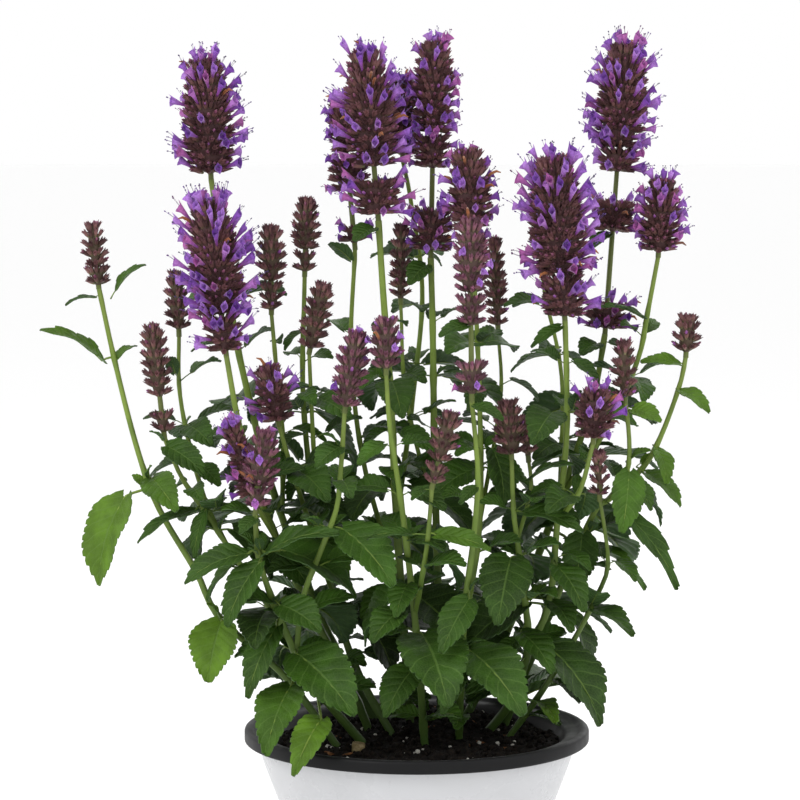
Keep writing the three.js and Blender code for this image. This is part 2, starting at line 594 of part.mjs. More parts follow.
function occupy(owner, kind, point, radius, carrier = "", core = 0) {
  occupied.push({ owner, kind, x: point.x, y: point.y, z: point.z, radius, carrier, core });
}

// How far a leaf's point has to stay from another piece's point
function roomNeeded(owner, other) {
  const own = other.owner === owner;
  if (other.kind === "leaf") {
    return own ? LEAF_CLEARANCE.own : LEAF_CLEARANCE.other;
  }
  if (other.carrier === owner) {
    return other.core;
  }
  return own ? 0 : other.radius + LEAF_CLEARANCE[other.kind];
}

function isClear(owner, samples) {
  return samples.every((sample) => {
    const away = Math.hypot(sample.x, sample.y);
    if (away < RIM_CLEARANCE.radius && sample.z < RIM_CLEARANCE.height) {
      return false;
    }
    return occupied.every((other) => {
      const room = roomNeeded(owner, other);
      const dx = sample.x - other.x;
      const dy = sample.y - other.y;
      const dz = sample.z - other.z;
      return dx * dx + dy * dy + dz * dz >= room * room;
    });
  });
}

// How wide an egg-shaped blade with a pointed tip is along its length, from 0 to 1
function bladeWidth(along) {
  return Math.pow(Math.sin(Math.PI * Math.pow(along, 0.7)), 0.75);
}

// A blade's frame: its midrib runs from base to tip in a low arch, and out is across it
function bladeFrame(root, base, tip) {
  const chord = tip.clone().sub(base);
  const length = chord.length();
  const outward = base.clone().sub(root).setZ(0).normalize();
  const level = chord.clone().setZ(0).addScaledVector(outward, 0.35 * length).normalize();
  const rise = Math.atan2(chord.z, chord.dot(level));
  const forward = chord.clone().normalize();
  const upward = level.clone().multiplyScalar(-Math.sin(rise)).addScaledVector(UP, Math.cos(rise));
  const faced = new THREE.Vector3(base.x * BLADE_FACES.side, base.y + BLADE_FACES.front, 0);
  upward.addScaledVector(faced.normalize(), BLADE_TURN);
  upward.addScaledVector(forward, -upward.dot(forward)).normalize();
  const across = forward.clone().cross(upward);
  const at = (along, side) => base.clone()
    .addScaledVector(chord, along)
    .addScaledVector(upward, length * BLADE_ARCH * along * (1 - along))
    .addScaledVector(across, side)
    .addScaledVector(upward, Math.abs(side) * BLADE_FOLD);
  return { upward, across, at };
}

// Points that stand for a leaf: along its petiole and midrib, and across its blade
function bladeSamples(root, base, frame, width) {
  const stalk = STALK_SAMPLES.map((along) => root.clone().lerp(base, along));
  const spine = SPINE_SAMPLES.map((along) => frame.at(along, 0));
  const rows = ROW_SAMPLES.flatMap((along) => (
    EDGE_SAMPLES.map((share) => frame.at(along, (width / 2) * bladeWidth(along) * share))
  ));
  return [...stalk, ...spine, ...rows];
}

// A leaf: a toothed blade, thickest along the middle and thin at the edge, on a flat
// petiole that runs right through the stem
function leafSolid(root, base, frame, width) {
  const sunk = root.clone().addScaledVector(root.clone().sub(base).normalize(), ROOT_SUNK);
  const edge = frame.across.clone().multiplyScalar(PETIOLE_HALF_WIDTH);
  const right = [sunk.clone().add(edge), base.clone().add(edge)];
  const left = [sunk.clone().sub(edge), base.clone().sub(edge)];
  const stations = 2 * TEETH.find(([from]) => width > from)[1] - 1;
  for (let k = 0; k < stations; k += 1) {
    const along = THREE.MathUtils.lerp(...TEETH_SPAN, k / (stations - 1));
    const notch = k % 2 === 1 ? 1 - NOTCH_DEPTH : 1;
    const side = (width / 2) * bladeWidth(along) * notch;
    right.push(frame.at(along, side));
    left.push(frame.at(along, -side));
  }
  const outline = [...right, frame.at(1, 0), ...left.reverse()];
  const middle = frame.at(BLADE_CENTRE, 0);
  const sheet = new THREE.SphereGeometry(1, outline.length, 2);
  reshape(sheet, (corner, i) => {
    if (Math.abs(corner.y) < 0.5) {
      return outline[(i - outline.length - 1) % outline.length];
    }
    const side = Math.sign(corner.y) * BLADE_HALF_THICKNESS;
    return middle.clone().addScaledVector(frame.upward, side);
  });
  return toSolid(sheet);
}

// Where each shoot and head runs, as points, for finding where a leaf is rooted
const routes = {};

function nearestOnRoute(name, point) {
  return routes[name].reduce((best, candidate) => (
    candidate.distanceTo(point) < best.distanceTo(point) ? candidate : best
  ));
}

// A flower head's lathe-like core, with calyces standing out of it in rings
function headSolid(name, head, foot, tip) {
  const axis = tip.clone().sub(foot);
  const length = axis.length();
  const rings = [];
  head.whorls.forEach(([from, to, radius], w) => {
    const isSpike = w === head.whorls.length - 1;
    const span = (to - from) * length;
    const rowStep = head.reach > LARGE_REACH ? ROW_STEP.large : ROW_STEP.small;
    const count = Math.max(2, Math.round(span / rowStep));
    if (from * length > 0.8 && w === 0) {
      rings.push({ height: 0, radius: RACHIS_RADIUS, tips: false });
    }
    rings.push({ height: from * length, radius: RACHIS_RADIUS, tips: false });
    for (let k = 0; k < count; k += 1) {
      const along = (k + 0.5) / count;
      const full = isSpike ? spikeWidth(along) : 0.88 + 0.12 * Math.sin(Math.PI * along);
      const height = (from + (to - from) * along) * length;
      rings.push({ height, radius: radius * full, tips: true });
    }
    if (!isSpike) {
      rings.push({ height: to * length, radius: RACHIS_RADIUS, tips: false });
    }
  });
  const core = new THREE.CylinderGeometry(1, 1, 1, head.sides, rings.length - 1);
  const turn = new THREE.Quaternion().setFromUnitVectors(UP, axis.clone().normalize());
  reshape(core, (corner) => {
    const row = Math.round((corner.y + 0.5) * (rings.length - 1));
    const ring = rings[row];
    if (Math.hypot(corner.x, corner.z) < 0.5) {
      const cap = row === 0 ? 0 : length;
      return new THREE.Vector3(0, 0, cap).applyQuaternion(turn).add(foot);
    }
    const place = Math.round((Math.atan2(corner.z, corner.x) / (2 * Math.PI)) * head.sides);
    const angle = (-2 * Math.PI * place) / head.sides;
    const isTip = ring.tips && THREE.MathUtils.euclideanModulo(place - row, TIP_EVERY) === 0;
    const radius = ring.tips && !isTip ? ring.radius * VALLEY : ring.radius;
    const height = isTip ? Math.min(ring.height + CALYX_LIFT, length - 0.4) : ring.height;
    const local = new THREE.Vector3(radius * Math.cos(angle), radius * Math.sin(angle), height);
    return local.applyQuaternion(turn).add(foot);
  });
  const pieces = [toSolid(core)];
  corollas(name, head, length).forEach(({ height, angle, tilt, reach, start }) => {
    const span = reach - start;
    const flare = new THREE.ConeGeometry(COROLLA.mouth, span, COROLLA.sides);
    flare.translate(0, -start - span / 2, 0).rotateZ(Math.PI / 2).rotateY(-tilt).rotateZ(angle);
    flare.translate(0, 0, height).applyQuaternion(turn).translate(foot.x, foot.y, foot.z);
    pieces.push(toSolid(flare));
  });
  return pieces;
}

// A spike's width along its length: full in its lower half and blunt at the top
function spikeWidth(along) {
  return along < 0.3
    ? 0.8 + 0.2 * Math.sin((along / 0.3) * (Math.PI / 2))
    : Math.pow(Math.cos(((along - 0.3) / 0.7) * 1.25), 0.8);
}

// Where a head's open corollas stand, turned by the golden angle from one to the next
function corollas(name, head, length) {
  const draw = draws(COROLLA.seed + Object.keys(HEADS).indexOf(name));
  const total = head.whorls.reduce((sum, [from, to]) => sum + to - from, 0);
  const list = [];
  for (let k = 0; k < head.corollas; k += 1) {
    let left = ((k + 0.5) / head.corollas) * total;
    const whorl = head.whorls.find(([from, to]) => {
      left -= to - from;
      return left <= 0;
    });
    const [from, to, radius] = whorl;
    const isSpike = whorl === head.whorls[head.whorls.length - 1];
    const [low, high] = isSpike ? COROLLA.spike : COROLLA.whorl;
    const along = THREE.MathUtils.clamp((to - from + left) / (to - from), low, high);
    const full = isSpike ? spikeWidth(along) : 0.9;
    const outer = radius + (head.reach - radius) * (0.75 + 0.25 * draw());
    list.push({
      height: (from + (to - from) * along) * length - 1,
      angle: k * GOLDEN_ANGLE + draw() * 0.5,
      tilt: 0.1 + 0.35 * draw(),
      reach: outer * (isSpike ? 0.25 + 0.75 * full : 1),
      start: radius * full * COROLLA.start,
    });
  }
  return list;
}

// Every shoot's solids by node name, ready to be joined
const solids = {};

function addSolid(name, solid) {
  solids[name] = solids[name] ?? [];
  solids[name].push(solid);
}

// Stems and heads come first, because leaves are bent clear of them
for (const stem of STEMS) {
  const shoot = `stems_${stem.shoot}`;
  const headName = `head_${stem.name}`;
  addSolid(shoot, stemSolid(stem));
  routes[shoot] = [...(routes[shoot] ?? []), ...stemPoints(stem, ROUTE_STEP)];
  stemPoints(stem, SAMPLE_STEP).forEach((point) => {
    occupy(shoot, "stem", point, stem.width[0] / 2);
  });
  const head = HEADS[stem.name];
  const foot = vector(stem.route[stem.route.length - 2]);
  const tip = vector(stem.route[stem.route.length - 1]);
  headSolid(stem.name, head, foot, tip).forEach((piece) => addSolid(headName, piece));
  const length = foot.distanceTo(tip);
  const rows = Math.ceil(length / SAMPLE_STEP);
  routes[headName] = [];
  for (let k = 0; k <= rows; k += 1) {
    const point = foot.clone().lerp(tip, k / rows);
    routes[headName].push(point);
    const whorl = head.whorls.find(([from, to]) => (
      k / rows >= from - WHORL_MARGIN && k / rows <= to + WHORL_MARGIN
    ));
    const radius = whorl ? head.reach : RACHIS_RADIUS;
    const core = (k / rows) * length > OWN_FOOT && whorl ? whorl[2] + LEAF_CLEARANCE.head : 0;
    occupy(headName, "head", point, radius, shoot, core);
  }
}

// Grows a leaf at the first turn of its blade that is clear of everything else. Where
// none is clear, the leaf is left out.
function growLeaf(owner, root, base, heading, rise, blade, width) {
  for (const [sideways, upwards, scale] of TURNS) {
    const azimuth = heading + THREE.MathUtils.degToRad(sideways);
    const lift = rise + THREE.MathUtils.degToRad(upwards);
    const span = blade * scale;
    const tip = base.clone().add(new THREE.Vector3(
      span * Math.cos(azimuth) * Math.cos(lift),
      span * Math.sin(azimuth) * Math.cos(lift),
      span * Math.sin(lift),
    ));
    const frame = bladeFrame(root, base, tip);
    const samples = bladeSamples(root, base, frame, width * scale);
    if (isClear(owner, samples)) {
      addSolid(owner, leafSolid(root, base, frame, width * scale));
      samples.forEach((sample) => occupy(owner, "leaf", sample, 0));
      return;
    }
  }
}

for (const [owner, baseAt, tipAt, width] of LEAVES) {
  const base = vector(baseAt);
  const chord = vector(tipAt).sub(base);
  const blade = chord.length();
  const heading = Math.atan2(chord.y, chord.x);
  growLeaf(owner, nearestOnRoute(owner, base), base, heading, Math.asin(chord.z / blade), blade, width);
}

// Pairs of leaves up a stem, each pair a quarter turn on from the one below
const drawPair = draws(PAIR_SEED);
for (const stem of STEMS.filter(({ pairs }) => pairs)) {
  const points = stemPoints(stem, ROUTE_STEP);
  const { from, to, step, turn, size } = stem.pairs;
  const last = Math.min(to, points.length - PAIR_CLEAR_OF_HEAD);
  for (let pair = 0; from + pair * step <= last; pair += 1) {
    const node = points[Math.round((from + pair * step) / ROUTE_STEP)];
    const share = (node.z - LOW_LEAF.at) / (HIGH_LEAF.at - LOW_LEAF.at);
    const high = THREE.MathUtils.clamp(share, 0, 1);
    const between = (what) => THREE.MathUtils.lerp(LOW_LEAF[what], HIGH_LEAF[what], high);
    for (const side of [0, 180]) {
      const spread = (drawPair() - 0.5) * PAIR_SPREAD.heading;
      const heading = THREE.MathUtils.degToRad(turn + pair * 90 + side + spread);
      const rise = THREE.MathUtils.degToRad(between("rise") + (drawPair() - 0.5) * PAIR_SPREAD.rise);
      const blade = between("length") * size * (1 + (drawPair() - 0.5) * PAIR_SPREAD.length);
      const stalk = new THREE.Vector3(Math.cos(heading), Math.sin(heading), STALK_RISE);
      const base = node.clone().addScaledVector(stalk, between("petiole") * size);
      const width = blade * LEAF_SLENDERNESS;
      growLeaf(`stems_${stem.shoot}`, node, base, heading, rise, blade, width);
    }
  }
}

const part = new THREE.Group();

function addMesh(name, geometry, colour) {
  const mesh = new THREE.Mesh(geometry, new THREE.MeshStandardMaterial(COLOURS[colour]));
  mesh.name = name;
  part.add(mesh);
}

// The cut stub, or the hole that it stands in
function stubSolid(radius, bottom, top) {
  const geometry = new THREE.CylinderGeometry(radius, radius, top - bottom, HOLE_SIDES);
  return toSolid(geometry.rotateX(Math.PI / 2).translate(STUB.x, STUB.y, (top + bottom) / 2));
}

const stubRoot = SOIL_RIM_HEIGHT - ROOT_DEPTH;
const stubHole = stubSolid(STUB.radius + SEAT_GAP, stubRoot - SEAT_GAP, SOIL_RIM_HEIGHT + 20);
const holes = STEMS.filter(isRooted).map(rootHole);
const soil = [...holes, stubHole].reduce((whole, hole) => whole.subtract(hole), soilSolid());

addMesh("outer_pot", outerPotSolid(), "white");
addMesh("liner_pot", linerSolid(), "black");
addMesh("soil", toGeometry(soil), "peat");
addMesh("cut_stub", toGeometry(stubSolid(STUB.radius, stubRoot, SOIL_RIM_HEIGHT + STUB.above)), "straw");
for (const [name, pieces] of Object.entries(solids)) {
  const head = HEADS[name.replace("head_", "")];
  const flower = head && head.corollas <= BUD_COROLLAS ? "bud" : "bloom";
  const colour = name.startsWith("stems_") ? "leaf" : flower;
  addMesh(name, toGeometry(joined(pieces)), colour);
}

export default part;
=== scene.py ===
"""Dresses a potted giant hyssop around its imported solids.

Leafy shoots, flower heads, soil and the two pots are worked out in millimetres, in the
frame of the solids, and brought to metres as each mesh is finished. +X is the plant's
right as seen from its front, and -Y is its front.
"""
import logging
import math
from collections.abc import Iterable, Sequence
from dataclasses import dataclass, field
from enum import Enum, IntEnum

import bmesh
import bpy
import numpy as np
from mathutils import Matrix, Vector, noise


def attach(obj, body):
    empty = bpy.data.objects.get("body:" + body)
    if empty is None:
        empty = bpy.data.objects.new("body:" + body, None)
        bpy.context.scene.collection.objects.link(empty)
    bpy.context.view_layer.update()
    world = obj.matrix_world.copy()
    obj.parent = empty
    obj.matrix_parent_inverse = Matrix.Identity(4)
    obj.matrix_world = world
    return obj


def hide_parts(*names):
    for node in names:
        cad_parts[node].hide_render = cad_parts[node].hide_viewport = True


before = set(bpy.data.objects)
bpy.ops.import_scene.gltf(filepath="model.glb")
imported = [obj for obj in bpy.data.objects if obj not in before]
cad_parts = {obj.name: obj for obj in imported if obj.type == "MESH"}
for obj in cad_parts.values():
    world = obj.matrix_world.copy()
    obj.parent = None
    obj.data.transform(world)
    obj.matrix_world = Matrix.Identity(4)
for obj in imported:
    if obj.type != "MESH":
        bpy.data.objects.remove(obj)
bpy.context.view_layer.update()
log = logging.getLogger("hyssop")

MM = 0.001
Point = tuple[float, float, float]
Colour = tuple[float, float, float]
Profile = tuple[tuple[float, float], ...]

# A blade's side veins: pairs from base to tip, and how far each slants on its way out
VEIN_PAIRS = 6.5
VEIN_SLANT = 0.24


@dataclass(frozen=True)
class Pairs:
    """Leaf pairs up a stem: first and last distance from its root, spacing, turn, size."""

    first: float
    last: float
    step: float
    turn: float
    size: float


@dataclass(frozen=True)
class Stem:
    """A stem: its shoot, name, widths, route and leaf pairs.

    The route's last point is its flower head's tip, and the one before is that head's foot.
    """

    shoot: str
    name: str
    widths: tuple[float, float]
    route: tuple[Point, ...]
    pairs: Pairs | None = None


class Bloom(Enum):
    """How far a flower head is in bloom: the shares of florets open, in bud and faded."""

    FULL = (0.24, 0.42, 0.02)
    HALF = (0.18, 0.36, 0.03)
    LILAC = (0.04, 0.3, 0.01)
    DARK = (0.0, 0.12, 0.0)


@dataclass(frozen=True)
class Head:
    """A flower head: its reach with open florets, its whorls and its bloom.

    A whorl is (from, to, radius over the calyces), in shares of the head's length.
    """

    reach: float
    whorls: tuple[tuple[float, float, float], ...]
    bloom: Bloom


@dataclass(frozen=True)
class Blade:
    """A leaf that shows: its blade's base and tip, its width, and its tone, which is how sunlit it
    is painted.
    """

    base: Point
    tip: Point
    width: float
    tone: float = 0.3


class Tree:
    """Builds the nodes of one finish."""

    def __init__(self, name: str) -> None:
        """Starts an empty material.

        Args:
            name: the material's name.
        """
        self.material = bpy.data.materials.new(name)
        self.material.use_nodes = True
        self.nodes = self.material.node_tree.nodes
        self.nodes.clear()

    def add(self, kind: str, inputs: dict | None = None, **settings: object) -> bpy.types.Node:
        """Adds a node.

        Args:
            kind: the node's type, without the word ShaderNode.
            inputs: its sockets by name or number, each a value or another node's socket.
            settings: its properties.

        Returns:
            The node.
        """
        node = self.nodes.new(f"ShaderNode{kind}")
        for key, value in settings.items():
            setattr(node, key, value)
        for key, value in (inputs or {}).items():
            if isinstance(value, bpy.types.NodeSocket):
                self.material.node_tree.links.new(value, node.inputs[key])
            else:
                node.inputs[key].default_value = value
        return node

    def attribute(self, name: str) -> bpy.types.NodeSocket:
        """Gives a mesh attribute's value."""
        return self.add("Attribute", attribute_name=name).outputs["Fac"]

    def place(self) -> bpy.types.NodeSocket:
        """Gives the point's place on the object."""
        return self.add("TexCoord").outputs["Object"]

    def noise(self, scale: float, detail: float = 3.0, rough: float = 0.5,
              vector: bpy.types.NodeSocket | None = None) -> bpy.types.NodeSocket:
        """Gives a soft noise from 0 to 1, of a number of waves in a metre or the vector's unit."""
        sockets = {"Vector": vector or self.place(), "Scale": scale, "Detail": detail,
                   "Roughness": rough}
        return self.add("TexNoise", sockets).outputs["Fac"]

    def math(self, operation: str, a: object, b: object = 0.0, c: object = 0.0,
             clamp: bool = False) -> bpy.types.NodeSocket:
        """Gives the result of one Math operation on up to three values or sockets."""
        node = self.add("Math", {0: a, 1: b, 2: c}, operation=operation, use_clamp=clamp)
        return node.outputs[0]

    def ramp(self, value: bpy.types.NodeSocket, low: float, high: float,
             to: tuple[float, float] = (0.0, 1.0)) -> bpy.types.NodeSocket:
        """Brings a value from one range, low to high, to another, with soft ends."""
        sockets = {"Value": value, "From Min": low, "From Max": high,
                   "To Min": to[0], "To Max": to[1]}
        return self.add("MapRange", sockets, interpolation_type="SMOOTHSTEP").outputs["Result"]

    def mix(self, share: object, a: object, b: object, blend: str = "MIX") -> bpy.types.NodeSocket:
        """Mixes two colours.

        Args:
            share: how much of the second colour.
            a: the first colour.
            b: the second colour.
            blend: how they are mixed.

        Returns:
            The mixed colour.
        """
        node = self.add("Mix", data_type="RGBA", blend_type=blend)
        for name, value in (("Factor_Float", share), ("A_Color", a), ("B_Color", b)):
            socket = next(item for item in node.inputs if item.identifier == name)
            if isinstance(value, bpy.types.NodeSocket):
                self.material.node_tree.links.new(value, socket)
            else:
                socket.default_value = value if name == "Factor_Float" else (*value[:3], 1.0)
        return next(item for item in node.outputs if item.identifier == "Result_Color")

    def bump(self, height: bpy.types.NodeSocket, depth: float,
             strength: float = 1.0) -> bpy.types.NodeSocket:
        """Gives a surface direction tilted by a height, where 1 stands for a depth in metres."""
        sockets = {"Height": height, "Distance": depth, "Strength": strength}
        return self.add("Bump", sockets).outputs["Normal"]

    def finish(self, inputs: dict) -> bpy.types.Material:
        """Ends the material in one surface shader.

        Args:
            inputs: the shader's sockets by name.

        Returns:
            The material.
        """
        shader = self.add("BsdfPrincipled", inputs)
        self.add("OutputMaterial", {"Surface": shader.outputs["BSDF"]})
        return self.material


@dataclass(frozen=True)
class BladeFinish:
    """A hyssop leaf: green, darker or sunlit by tone, with sunken paler side veins."""

    shade: Colour = (0.012, 0.028, 0.004)
    middle: Colour = (0.038, 0.098, 0.008)
    sunlit: Colour = (0.095, 0.19, 0.012)
    vein: Colour = (0.12, 0.21, 0.045)
    underside: Colour = (0.075, 0.135, 0.06)
    cells: float = 620.0

    def material(self) -> bpy.types.Material:
        """Builds the finish."""
        tree = Tree("leaf_green")
        tone, share = tree.attribute("tone"), tree.attribute("share")
        along, under = tree.attribute("along"), tree.attribute("under")
        wobble = tree.ramp(tree.noise(160, 2), 0.2, 0.8, (-0.012, 0.012))
        slanted = tree.math("MULTIPLY_ADD", share, -VEIN_SLANT, along)
        rib = tree.math("MULTIPLY", tree.math("ADD", slanted, wobble), VEIN_PAIRS)
        off_vein = tree.math("ABSOLUTE", tree.math("SUBTRACT", tree.math("FRACT", rib), 0.5))
        side_vein = tree.ramp(off_vein, 0.07, 0.015)
        midrib = tree.ramp(share, 0.055, 0.02)
        veins = tree.math("MAXIMUM", tree.math("MULTIPLY", side_vein, 0.6), midrib, clamp=True)
        cell = tree.add("TexVoronoi", {"Vector": tree.place(), "Scale": self.cells},
                        feature="DISTANCE_TO_EDGE").outputs["Distance"]
        net = tree.ramp(cell, 0.0, 0.16)
        low = tree.mix(tree.ramp(tone, 0.0, 0.5), self.shade, self.middle)
        green = tree.mix(tree.ramp(tone, 0.45, 1.0), low, self.sunlit)
        patchy = tree.ramp(tree.noise(90, 4), 0.3, 0.75, (0.72, 1.25))
        value = tree.add("HueSaturation", {"Color": green, "Value": patchy}).outputs["Color"]
        netted = tree.mix(tree.math("MULTIPLY", net, -0.25), value, (0.0, 0.0, 0.0))
        mesh = tree.math("SUBTRACT", 0.12, tree.math("MULTIPLY", net, 0.12))
        netted = tree.mix(mesh, netted, self.vein)
        veined = tree.mix(tree.math("MULTIPLY", veins, 0.5), netted, self.vein)
        pale = tree.mix(tree.math("MULTIPLY", veins, 0.5), self.underside, self.vein)
        pale = tree.mix(0.45, pale, veined)
        colour = tree.mix(under, veined, pale)
        puff = tree.ramp(off_vein, 0.0, 0.4)
        height = tree.math("MULTIPLY_ADD", net, 0.18, tree.math("MULTIPLY", puff, 0.9))
        height = tree.math("SUBTRACT", height, tree.math("MULTIPLY", midrib, 0.6))
        rough = tree.ramp(tree.noise(300, 2), 0.3, 0.7, (0.42, 0.6))
        return tree.finish({
            "Base Color": colour, "Roughness": rough, "Specular IOR Level": 0.2,
            "Normal": tree.bump(height, 0.0005, 0.8),
        })


@dataclass(frozen=True)
class StalkFinish:
    """A square stem or petiole: lighter green higher up and on sunlit leaves' petioles as painted
    light, darker low down as painted shade, flushed purple under heads.
    """

    # light is the painted sunlit green and dark the painted shaded green
    light: Colour = (0.21, 0.3, 0.05)
    dark: Colour = (0.035, 0.08, 0.015)
    flush: Colour = (0.085, 0.05, 0.04)

    def material(self) -> bpy.types.Material:
        """Builds the finish."""
        tree = Tree("stalk_green")
        grain = tree.noise(500, 3)
        # tone mixes from the shaded green to the sunlit green: painted light and painted shade
        green = tree.mix(tree.ramp(tree.attribute("tone"), 0.0, 1.0), self.dark, self.light)
        mottled = tree.mix(tree.ramp(tree.noise(60, 3), 0.45, 0.75, (0.0, 0.4)), green, self.dark)
        colour = tree.mix(tree.attribute("under"), mottled, self.flush)
        return tree.finish({
            "Base Color": colour, "Roughness": 0.5, "Specular IOR Level": 0.28,
            "Normal": tree.bump(grain, 0.0001, 0.6),
        })


@dataclass(frozen=True)
class CalyxFinish:
    """A calyx: green at its foot and dark maroon at its teeth, or lilac in young heads."""

    name: str
    foot: Colour
    cup: Colour
    teeth: Colour

    def material(self) -> bpy.types.Material:
        """Builds the finish."""
        tree = Tree(self.name)
        tone = tree.attribute("tone")
        along = tree.attribute("along")
        low = tree.mix(tree.ramp(along, 0.0, 0.45), self.foot, self.cup)
        colour = tree.mix(tree.ramp(along, 0.45, 1.0), low, self.teeth)
        # tone brightens or darkens each calyx at random; the core, at tone 0, is its darkest, as
        # painted shade between the calyces
        bright = tree.ramp(tone, 0.0, 1.0, (0.55, 1.55))
        varied = tree.add("HueSaturation", {"Color": colour, "Value": bright}).outputs["Color"]
        ribs = tree.noise(1400, 2)
        return tree.finish({
            "Base Color": varied, "Roughness": 0.62, "Specular IOR Level": 0.3,
            "Normal": tree.bump(ribs, 0.0002, 0.7),
        })


@dataclass(frozen=True)
class PetalFinish:
    """A corolla or bud: violet with a paler or pinker tone from one floret to the next."""

    name: str
    deep: Colour
    light: Colour
    throat: Colour
    rare: Colour

    def material(self) -> bpy.types.Material:
        """Builds the finish."""
        tree = Tree(self.name)
        along = tree.attribute("along")
        tone = tree.attribute("tone")
        lobes = tree.mix(tree.ramp(tone, 0.0, 0.75), self.deep, self.light)
        lobes = tree.mix(tree.ramp(tone, 0.7, 0.9, (0.0, 0.85)), lobes, self.rare)
        colour = tree.mix(tree.ramp(along, 0.25, 0.8), self.throat, lobes)
        streaks = tree.ramp(tree.noise(900, 3), 0.3, 0.7, (0.8, 1.2))
        varied = tree.add("HueSaturation", {"Color": colour, "Value": streaks}).outputs["Color"]
        return tree.finish({
            "Base Color": varied, "Roughness": 0.5, "Specular IOR Level": 0.35,
            "Sheen Weight": 0.25, "Sheen Roughness": 0.4,
        })


@dataclass(frozen=True)
class PlasticFinish:
    """Moulded plastic: an even colour with faint wear, a soft gloss and fine grain."""

    name: str
    colour: Colour
    worn: Colour
    roughness: float
    grain: float
    gloss: float = 0.4

    def material(self) -> bpy.types.Material:
        """Builds the finish."""
        tree = Tree(self.name)
        marks = tree.ramp(tree.noise(35, 6, 0.65), 0.5, 0.8)
        colour = tree.mix(tree.math("MULTIPLY", marks, 0.5), self.colour, self.worn)
        rough = tree.ramp(tree.noise(70, 5), 0.3, 0.7, (self.roughness, self.roughness + 0.12))
        return tree.finish({
            "Base Color": colour, "Roughness": rough, "Specular IOR Level": self.gloss,
            "Normal": tree.bump(tree.noise(1500, 2), self.grain, 0.5),
        })


@dataclass(frozen=True)
class EarthFinish:
    """Loose matter on or in the soil: two colours mixed in grains, rough all over."""

    name: str
    dark: Colour
    light: Colour
    grain: float

    def material(self) -> bpy.types.Material:
        """Builds the finish."""
        tree = Tree(self.name)
        fine = tree.noise(self.grain, 6, 0.7)
        colour = tree.mix(tree.ramp(fine, 0.4, 0.75), self.dark, self.light)
        return tree.finish({
            "Base Color": colour, "Roughness": 0.92, "Specular IOR Level": 0.2,
            "Normal": tree.bump(fine, 0.0008, 0.9),
        })


Finish = BladeFinish | StalkFinish | CalyxFinish | PetalFinish | PlasticFinish | EarthFinish

LOOKS: dict[str, Finish] = {
    "blade": BladeFinish(),
    "stalk": StalkFinish(),
    "calyx_dark": CalyxFinish("calyx_maroon", (0.14, 0.14, 0.065), (0.17, 0.082, 0.075),
                              (0.11, 0.045, 0.055)),
    "calyx_lilac": CalyxFinish("calyx_lilac", (0.15, 0.14, 0.07), (0.19, 0.085, 0.1),
                               (0.15, 0.055, 0.095)),
    "corolla": PetalFinish("corolla_violet", (0.2, 0.06, 0.4), (0.45, 0.21, 0.66),
                           (0.22, 0.05, 0.26), (0.42, 0.1, 0.32)),
    "bud": PetalFinish("bud_magenta", (0.15, 0.035, 0.075), (0.24, 0.07, 0.13), (0.1, 0.03, 0.04),
                       (0.3, 0.09, 0.36)),
    "anther": PetalFinish("anther_dark", (0.03, 0.012, 0.07), (0.12, 0.06, 0.24),
                          (0.2, 0.12, 0.3), (0.1, 0.02, 0.08)),
    "faded": PetalFinish("faded_brown", (0.24, 0.07, 0.02), (0.36, 0.13, 0.04), (0.12, 0.04, 0.02),
                         (0.12, 0.035, 0.02)),
    "pot_white": PlasticFinish("pot_white", (0.57, 0.575, 0.59), (0.53, 0.535, 0.54), 0.24, 0.00003),
    "liner_black": PlasticFinish("liner_black", (0.006, 0.006, 0.0065), (0.016, 0.015, 0.0145), 0.42,
                                 0.00008, 0.17),
    "peat": EarthFinish("peat", (0.004, 0.003, 0.0025), (0.022, 0.015, 0.01), 420.0),
    "perlite": EarthFinish("perlite", (0.5, 0.48, 0.43), (0.8, 0.78, 0.73), 900.0),
    "bark": EarthFinish("bark", (0.1, 0.04, 0.015), (0.32, 0.15, 0.06), 260.0),
    "straw": EarthFinish("straw", (0.2, 0.15, 0.07), (0.45, 0.36, 0.2), 500.0),
}
FINISH = {key: look.material() for key, look in LOOKS.items()}


